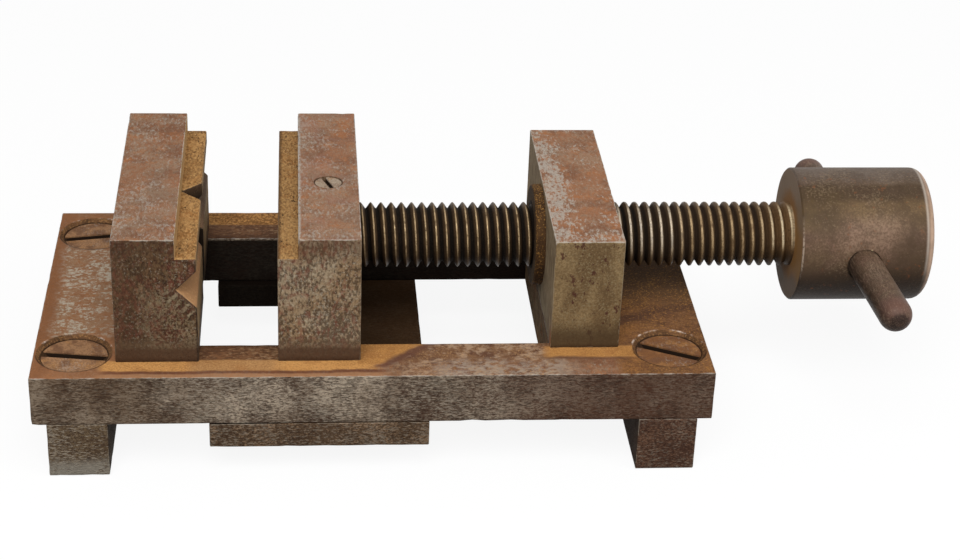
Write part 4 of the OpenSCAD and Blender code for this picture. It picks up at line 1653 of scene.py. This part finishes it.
def bar_drill(radius_mm, sides=48):
    """A plain cylinder through the head, as the drill that makes the bar's hole."""
    drill = bmesh.new()
    radii = {"radius1": radius_mm * MM, "radius2": radius_mm * MM}
    bmesh.ops.create_cone(drill, cap_ends=True, segments=sides, depth=DRILL_LONG_MM * MM, **radii)
    turn = bar_along.to_track_quat("Z", "Y").to_matrix().to_4x4()
    turn.translation = bar_middle * MM
    drill.transform(turn)
    return mesh_of("bar_drill", drill)


def cut_with(mesh, cutter):
    """The mesh less the cutter, by an exact Boolean."""
    subject = in_scene("cut_subject", mesh)
    tool = in_scene("cut_tool", cutter)
    boolean = subject.modifiers.new("cut", "BOOLEAN")
    boolean.operation = "DIFFERENCE"
    boolean.solver = "EXACT"
    boolean.object = tool
    result_mesh = settle(subject)
    bpy.data.objects.remove(tool)
    cleaned = bmesh.new()
    cleaned.from_mesh(result_mesh)
    bmesh.ops.remove_doubles(cleaned, verts=cleaned.verts, dist=MERGE)
    cleaned.to_mesh(result_mesh)
    cleaned.free()
    return result_mesh


spindle_points = nose_points() + thread_points() + tail_points()
spindle_mesh = rod_mesh(spindle_points, thread_steel, ROD_SIDES, SHARP_CREST, WORN_CREST)
spindle_mesh = cut_with(spindle_mesh, bar_drill(BAR_HOLE_R_MM))
new_piece("turned_spindle", spindle_mesh, thread_steel, "screw", ["spindle"])

# %% [markdown]
# Turned pieces are profiles spun round an axis: the nut, the head and the bar. A spin of
# a profile is short to write by hand, and gives even rings that a shader can follow.

# %% Turned pieces

ON_AXIS_MM = 1e-6


def turned(name, points, centre, along, sides=96):
    """Spins (distance along the axis, radius) points, in millimetres, into a closed mesh."""
    spun = bmesh.new()
    turn = along.to_track_quat("Z", "Y").to_matrix()
    rings = []
    for reach, radius in points:
        if radius < ON_AXIS_MM:
            rings.append([spun.verts.new((centre + turn @ Vector((0, 0, reach))) * MM)])
            continue
        ring = []
        for side in range(sides):
            angle = 2 * math.pi * side / sides
            spoke = Vector((radius * math.cos(angle), radius * math.sin(angle), reach))
            ring.append(spun.verts.new((centre + turn @ spoke) * MM))
        rings.append(ring)
    for first, second in zip(rings, rings[1:]):
        for side in range(sides):
            after = (side + 1) % sides
            corners = [first[side % len(first)], first[after % len(first)]]
            corners += [second[after % len(second)], second[side % len(second)]]
            face = list(dict.fromkeys(corners))
            spun.faces.new(face)
    bmesh.ops.recalc_face_normals(spun, faces=spun.faces)
    return mesh_of(name, spun)


X_AXIS = Vector((1, 0, 0))
on_axis = Vector((0, 0, axis_z))
print("a profile can be spun round any axis")

# %% [markdown]
# The nut is a flange and a hub, and the thread rule cuts its bore: the same tree, run a
# little larger, is the tap.

# %% Flanged nut

FLANGE_R_MM = 9.9
FLANGE_T_MM = 1.9
HUB_R_MM = 8.4
THREAD_GAP_MM = 0.2
FLANGE_BREAK_MM = 0.25
BACK_BREAK_MM = 0.1
TAP_PAST_MM = 2
TAP_SIDES = 48

nut_profile = [
    (flange_low.x, 0.0),
    (flange_low.x, FLANGE_R_MM - FLANGE_BREAK_MM),
    (flange_low.x + FLANGE_BREAK_MM, FLANGE_R_MM),
    (flange_low.x + FLANGE_T_MM - BACK_BREAK_MM, FLANGE_R_MM),
    (flange_low.x + FLANGE_T_MM, FLANGE_R_MM - BACK_BREAK_MM),
    (flange_low.x + FLANGE_T_MM, HUB_R_MM),
    (flange_high.x - FLANGE_BREAK_MM, HUB_R_MM),
    (flange_high.x, HUB_R_MM - FLANGE_BREAK_MM),
    (flange_high.x, 0.0),
]
tap_r = THREAD_CREST_MM + THREAD_GAP_MM
tap_step = PITCH_MM / STEPS_PER_PITCH
tap_x = np.arange(flange_low.x - TAP_PAST_MM, flange_high.x + TAP_PAST_MM, tap_step)
tap_points = [(float(x), tap_r, THREAD_DEPTH_MM) for x in tap_x]
tap = rod_mesh(tap_points, nut_steel, TAP_SIDES, SHARP_CREST, SHARP_CREST)
nut_mesh = cut_with(turned("turned_nut", nut_profile, on_axis, X_AXIS), tap)
new_piece("turned_nut", nut_mesh, nut_steel, "base", ["flanged_nut"])

# %% [markdown]
# The head is a plain drum: a small chamfer towards the thread, a rounded outer edge, and
# the cross hole for the bar. The hole's rim is rounded after it is drilled, so that it
# catches the light as the real one does.

# %% Spindle head

ROUND_STEPS = 6
HEAD_RINGS = 16
HOLE_RIM_MM = 0.22
RIM_SLACK_MM = 0.02
DRUM_SLACK_MM = 0.1
TAIL_GAP_MM = 0.04
TAIL_DRILL_FROM = -5.0
TAIL_DRILL_TO = 20.5
TAIL_DRILL_SIDES = 48


def head_profile():
    """From the middle of the inner face, over the drum, to the middle of the outer face."""
    drum_left = head_low.x + HEAD_CHAMFER_MM
    drum_right = head_high.x - HEAD_ROUND_MM
    points = [(head_low.x, 0.0), (head_low.x, HEAD_R_MM - HEAD_CHAMFER_MM)]
    points += [(float(x), HEAD_R_MM) for x in np.linspace(drum_left, drum_right, HEAD_RINGS)]
    for step in range(1, ROUND_STEPS + 1):
        angle = math.pi / 2 * step / ROUND_STEPS
        radius = HEAD_R_MM - HEAD_ROUND_MM + HEAD_ROUND_MM * math.cos(angle)
        points.append((drum_right + HEAD_ROUND_MM * math.sin(angle), radius))
    points.append((head_high.x, 0.0))
    return points


def round_hole_rim(mesh, rounding_mm):
    """Rounds the edge where the bar's hole comes out of the drum."""
    drum = bmesh.new()
    drum.from_mesh(mesh)
    centre = bar_middle * MM
    rim = []
    for edge in drum.edges:
        offsets = [vert.co - centre for vert in edge.verts]
        wide = [(offset - bar_along * offset.dot(bar_along)).length for offset in offsets]
        high = [math.hypot(vert.co.y, vert.co.z - axis_z * MM) for vert in edge.verts]
        on_hole = all(abs(reach - BAR_HOLE_R_MM * MM) < RIM_SLACK_MM * MM for reach in wide)
        on_drum = all(reach > (HEAD_R_MM - DRUM_SLACK_MM) * MM for reach in high)
        if on_hole and on_drum and edge.calc_face_angle(0.0) > CORNER_ANGLE:
            rim.append(edge)
    bmesh.ops.bevel(drum, geom=rim, offset=rounding_mm * MM, segments=2, profile=0.5, affect="EDGES")
    drum.to_mesh(mesh)
    drum.free()
    print("rim of the bar's hole:", len(rim), "edges rounded")


drill_r = TAIL_R_MM + TAIL_GAP_MM
drill_profile = [(TAIL_DRILL_FROM, 0.0), (TAIL_DRILL_FROM, drill_r)]
drill_profile += [(TAIL_DRILL_TO, drill_r), (TAIL_DRILL_TO, 0.0)]
drill_place = Vector((head_low.x, 0, axis_z))
tail_drill = turned("tail_drill", drill_profile, drill_place, X_AXIS, TAIL_DRILL_SIDES)
head_mesh = turned("turned_head", head_profile(), on_axis, X_AXIS)
head_mesh = cut_with(cut_with(head_mesh, tail_drill), bar_drill(BAR_HOLE_R_MM))
round_hole_rim(head_mesh, HOLE_RIM_MM)
new_piece("turned_head", head_mesh, head_steel, "screw", ["spindle_head"])

# %% [markdown]
# The bar slides through the head and has ball ends, each with a small centre mark left
# by the lathe. It has no knobs, so it could drop out on a real bench.

# %% Tommy bar

BALL_STEPS = 12
MARK_R_MM = 0.8
MARK_DEEP_MM = 0.2
MARK_LIP_MM = 0.1
BAR_RINGS = 40
BAR_SIDES = 64


def bar_profile(half):
    """Half length to half length, with ball ends and a centre mark in each."""
    ball = half - BAR_R_MM
    front = []
    for step in range(BALL_STEPS):
        angle = math.pi / 2 * step / BALL_STEPS
        front.append((ball + BAR_R_MM * math.sin(angle), BAR_R_MM * math.cos(angle)))
    rim = math.sqrt(BAR_R_MM**2 - MARK_R_MM**2)
    front = [point for point in front if point[1] > MARK_R_MM + MARK_LIP_MM]
    front += [(ball + rim, MARK_R_MM), (ball + rim - MARK_DEEP_MM, 0.0)]
    shaft = [(reach, BAR_R_MM) for reach in np.linspace(-ball, ball, BAR_RINGS)[1:-1]]
    back = [(-reach, radius) for reach, radius in reversed(front)]
    return back + shaft + front


bar_centre_y = (bar_low.y + bar_high.y) / 2
bar_centre = bar_middle + bar_along * (bar_centre_y / bar_along.y)
bar_half = (bar_high.y - bar_low.y) / 2 - BAR_R_MM
bar_half = bar_half / abs(bar_along.y) + BAR_R_MM
bar_mesh = turned("sliding_bar", bar_profile(bar_half), bar_centre, bar_along, BAR_SIDES)
bar_points = np.array([vert.co for vert in bar_mesh.vertices]) / MM - np.array(bar_centre)
bar_reach = bar_points @ np.array(bar_along)
from_tip = np.hypot(
    np.linalg.norm(bar_points - bar_reach[:, None] * np.array(bar_along), axis=1),
    np.abs(bar_reach) - bar_half,
)
write_attribute(bar_mesh, "tip_mm", from_tip)
new_piece("sliding_bar", bar_mesh, bar_steel, "bar", ["tommy_bar"])
print("bar", round(2 * bar_half, 2), "mm long")

# %% [markdown]
# Ten slotted screws hold the vise together, so one Geometry Nodes tree makes them all:
# it builds a countersunk screw from two cones and a cylinder, cuts the slot, and sets a
# copy on each point. A point carries how far its slot is turned, because no two screws
# stop at the same angle.

# %% Geometry Nodes: slotted screws

SLOT_LENGTHS = 1.5


def slotted_screw_tree():
    tree, get = new_group(
        "slotted screws",
        "GeometryNodeTree",
        [
            ("Places", GEOMETRY, None),
            ("Head Diameter", VALUE, 0.01),
            ("Shank Diameter", VALUE, 0.005),
            ("Length", VALUE, 0.02),
            ("Edge Break", VALUE, 0.0002),
            ("Slot Width", VALUE, 0.001),
            ("Slot Depth", VALUE, 0.001),
            ("Upside Down", VALUE, 0.0),
            ("Sides", WHOLE, 64),
            ("Material", MATERIAL, None),
        ],
        [("Screws", GEOMETRY)],
    )
    head_r = get["Head Diameter"] / 2.0
    shank_r = get["Shank Diameter"] / 2.0
    cone_h = head_r - shank_r

    def moved_to(geometry, height):
        place = out(tree, "ShaderNodeCombineXYZ", {2: height})
        return out(tree, "GeometryNodeTransform", {"Geometry": geometry, "Translation": place})

    def cone(top, bottom, height):
        sockets = {"Vertices": get["Sides"], "Radius Top": top, "Radius Bottom": bottom, "Depth": height}
        return out(tree, "GeometryNodeMeshCone", sockets)

    broken = head_r - get["Edge Break"]
    rim_z = get["Edge Break"] * -1.0
    rim = moved_to(cone(broken, head_r, get["Edge Break"]), rim_z)
    head_h = cone_h - get["Edge Break"]
    head = moved_to(cone(head_r, shank_r, head_h), cone_h * -1.0)
    shank_h = get["Length"] - cone_h
    shank = moved_to(cone(shank_r, shank_r, shank_h), get["Length"] * -1.0)
    joined = add(tree, "GeometryNodeMeshBoolean", operation="UNION", solver="EXACT")
    for part in (rim, head, shank):
        tree.links.new(part.socket, joined.inputs["Mesh 2"])

    double = get["Slot Depth"] * 2.0
    long_slot = get["Head Diameter"] * SLOT_LENGTHS
    size = out(tree, "ShaderNodeCombineXYZ", {0: long_slot, 1: get["Slot Width"], 2: double})
    slot = out(tree, "GeometryNodeMeshCube", {"Size": size})
    pair = {"Mesh 1": Wire(tree, joined.outputs[0]), "Mesh 2": slot}
    cut = out(tree, "GeometryNodeMeshBoolean", pair, operation="DIFFERENCE", solver="EXACT")
    turn = out(tree, "GeometryNodeInputNamedAttribute", {"Name": "slot_turn"})
    spin = out(tree, "ShaderNodeCombineXYZ", {0: get["Upside Down"], 2: turn})
    clean = out(tree, "GeometryNodeMergeByDistance", {"Geometry": cut, "Distance": MERGE})
    spread = {"Points": get["Places"], "Instance": clean, "Rotation": spin}
    copies = out(tree, "GeometryNodeInstanceOnPoints", spread)
    solid = out(tree, "GeometryNodeRealizeInstances", {"Geometry": copies})
    coated = out(tree, "GeometryNodeSetMaterial", {"Geometry": solid, "Material": get["Material"]})
    add(tree, "NodeGroupOutput", {"Screws": coated})
    return tree


slotted_screws = slotted_screw_tree()
print("tree", slotted_screws.name, "has", len(slotted_screws.nodes), "nodes")

# %% [markdown]
# The screws' places come from their CAD nodes. The foot screws look up and lie a little
# below the plate's top, and the others come up from below.

# %% Screws

EDGE_BREAK_MM = 0.18
SCREW_SIDES = 64


def screw_set(name, nodes, turns_deg, sizes_mm, upside_down, material, body):
    """One piece with a screw for each node, from (head, shank, slot width, slot depth)."""
    places = []
    for node in nodes:
        low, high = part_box(node)
        middle = (low + high) / 2
        places.append((middle.x, middle.y, low.z if upside_down else high.z))
        length = high.z - low.z
    points = bpy.data.meshes.new(name)
    points.from_pydata(places, [], [])
    write_attribute(points, "slot_turn", [math.radians(turn) for turn in turns_deg])
    head, shank, slot_width, slot_depth = sizes_mm
    values = {
        "Head Diameter": head * MM,
        "Shank Diameter": shank * MM,
        "Length": length,
        "Edge Break": EDGE_BREAK_MM * MM,
        "Slot Width": slot_width * MM,
        "Slot Depth": slot_depth * MM,
        "Upside Down": math.pi if upside_down else 0.0,
        "Sides": SCREW_SIDES,
        "Material": material,
    }
    mesh = run_tree(slotted_screws, points, values)
    return new_piece(name, mesh, material, body, nodes)


FOOT_SCREW_MM = (12.5, 6.35, 1.9, 1.3)
BLOCK_SCREW_MM = (9.4, 4.8, 1.2, 0.97)
foot_nodes = [f"foot_screw_{number}" for number in (1, 2, 3, 4)]
under_nodes = ["fixed_jaw_screw_1", "fixed_jaw_screw_2", "nut_block_screw_1", "nut_block_screw_2"]
keeper_nodes = ["keeper_screw_1", "keeper_screw_2"]
screw_set("foot_screws", foot_nodes, (-8, 10, -26, 34), FOOT_SCREW_MM, False, foot_screw_steel, "base")
screw_set("block_screws", under_nodes, (20, -50, 20, -50), BLOCK_SCREW_MM, True, block_screw_steel, "base")
screw_set("keeper_screws", keeper_nodes, (20, -50), BLOCK_SCREW_MM, True, keeper_screw_steel, "jaw")

# %% [markdown]
# The studio is a pale floor, a white surround and two large soft lamps. The floor looks
# white to the camera and in reflections, but lights the steel from below only as a grey
# sheet would, and it keeps the vise's soft shadow.

# %% Studio

FLOOR_SIZE = 6.0
FLOOR_DROP = 0.0002
FLOOR_GREY = (0.12, 0.12, 0.12, 1.0)
FLOOR_WHITE = (0.97, 0.97, 0.97, 1.0)
FLOOR_GLOW = 0.9
WHITE = (1, 1, 1, 1)
AMBIENT = 0.26
LAMP_AIM = (0, 0, 0.03)


def seen_mask(tree):
    """1 for rays that show the background: from the camera, or by way of a mirror or glass."""
    kinds = ("Is Camera Ray", "Is Glossy Ray", "Is Transmission Ray")
    camera_ray, mirror_ray, glass_ray = (out(tree, "ShaderNodeLightPath", output=kind) for kind in kinds)
    return camera_ray | mirror_ray | glass_ray


def floor_material():
    """Grey for the light it throws, white to the camera, with the vise's shadow kept faint."""
    material = bpy.data.materials.new("pale floor")
    material.use_nodes = True
    tree = material.node_tree
    tree.nodes.clear()
    grey = out(tree, "ShaderNodeBsdfDiffuse", {"Color": FLOOR_GREY})
    shaded = out(tree, "ShaderNodeBsdfDiffuse", {"Color": FLOOR_WHITE})
    glow = out(tree, "ShaderNodeEmission", {"Color": WHITE, "Strength": 1.0})
    white = out(tree, "ShaderNodeMixShader", {0: FLOOR_GLOW, 1: shaded, 2: glow})
    mixed = out(tree, "ShaderNodeMixShader", {0: seen_mask(tree), 1: grey, 2: white})
    add(tree, "ShaderNodeOutputMaterial", {"Surface": mixed})
    return material


floor_mesh = bpy.data.meshes.new("floor")
half_floor = FLOOR_SIZE / 2
floor_signs = ((-1, -1), (1, -1), (1, 1), (-1, 1))
floor_corners = [(x * half_floor, y * half_floor, -FLOOR_DROP) for x, y in floor_signs]
floor_mesh.from_pydata(floor_corners, [], [(0, 1, 2, 3)])
floor_mesh.materials.append(floor_material())
floor = in_scene("floor", floor_mesh)

world = bpy.data.worlds.new("white surround")
bpy.context.scene.world = world
world.use_nodes = True
world.node_tree.nodes.clear()
ambient_light = out(world.node_tree, "ShaderNodeBackground", {"Color": WHITE, "Strength": AMBIENT})
white_back = out(world.node_tree, "ShaderNodeBackground", {"Color": WHITE, "Strength": 1.0})
surround = {0: seen_mask(world.node_tree), 1: ambient_light, 2: white_back}
surround_mix = out(world.node_tree, "ShaderNodeMixShader", surround)
add(world.node_tree, "ShaderNodeOutputWorld", {"Surface": surround_mix})


def soft_lamp(name, place, aim, size, watts):
    lamp_data = bpy.data.lights.new(name, "AREA")
    lamp_data.shape = "DISK"
    lamp_data.size = size
    lamp_data.energy = watts
    lamp = in_scene(name, lamp_data)
    lamp.location = place
    lamp.rotation_euler = (Vector(aim) - Vector(place)).to_track_quat("-Z", "Y").to_euler()
    return lamp


soft_lamp("key_lamp", (-0.10, -0.64, 0.80), LAMP_AIM, 0.75, 9.7)
soft_lamp("fill_lamp", (0.65, -0.40, 0.60), LAMP_AIM, 0.5, 2.4)
bpy.context.scene.view_settings.view_transform = "Standard"
print("studio: floor", FLOOR_SIZE, "m wide,", len(bpy.data.lights), "lamps")

# %% End
print("scene built")
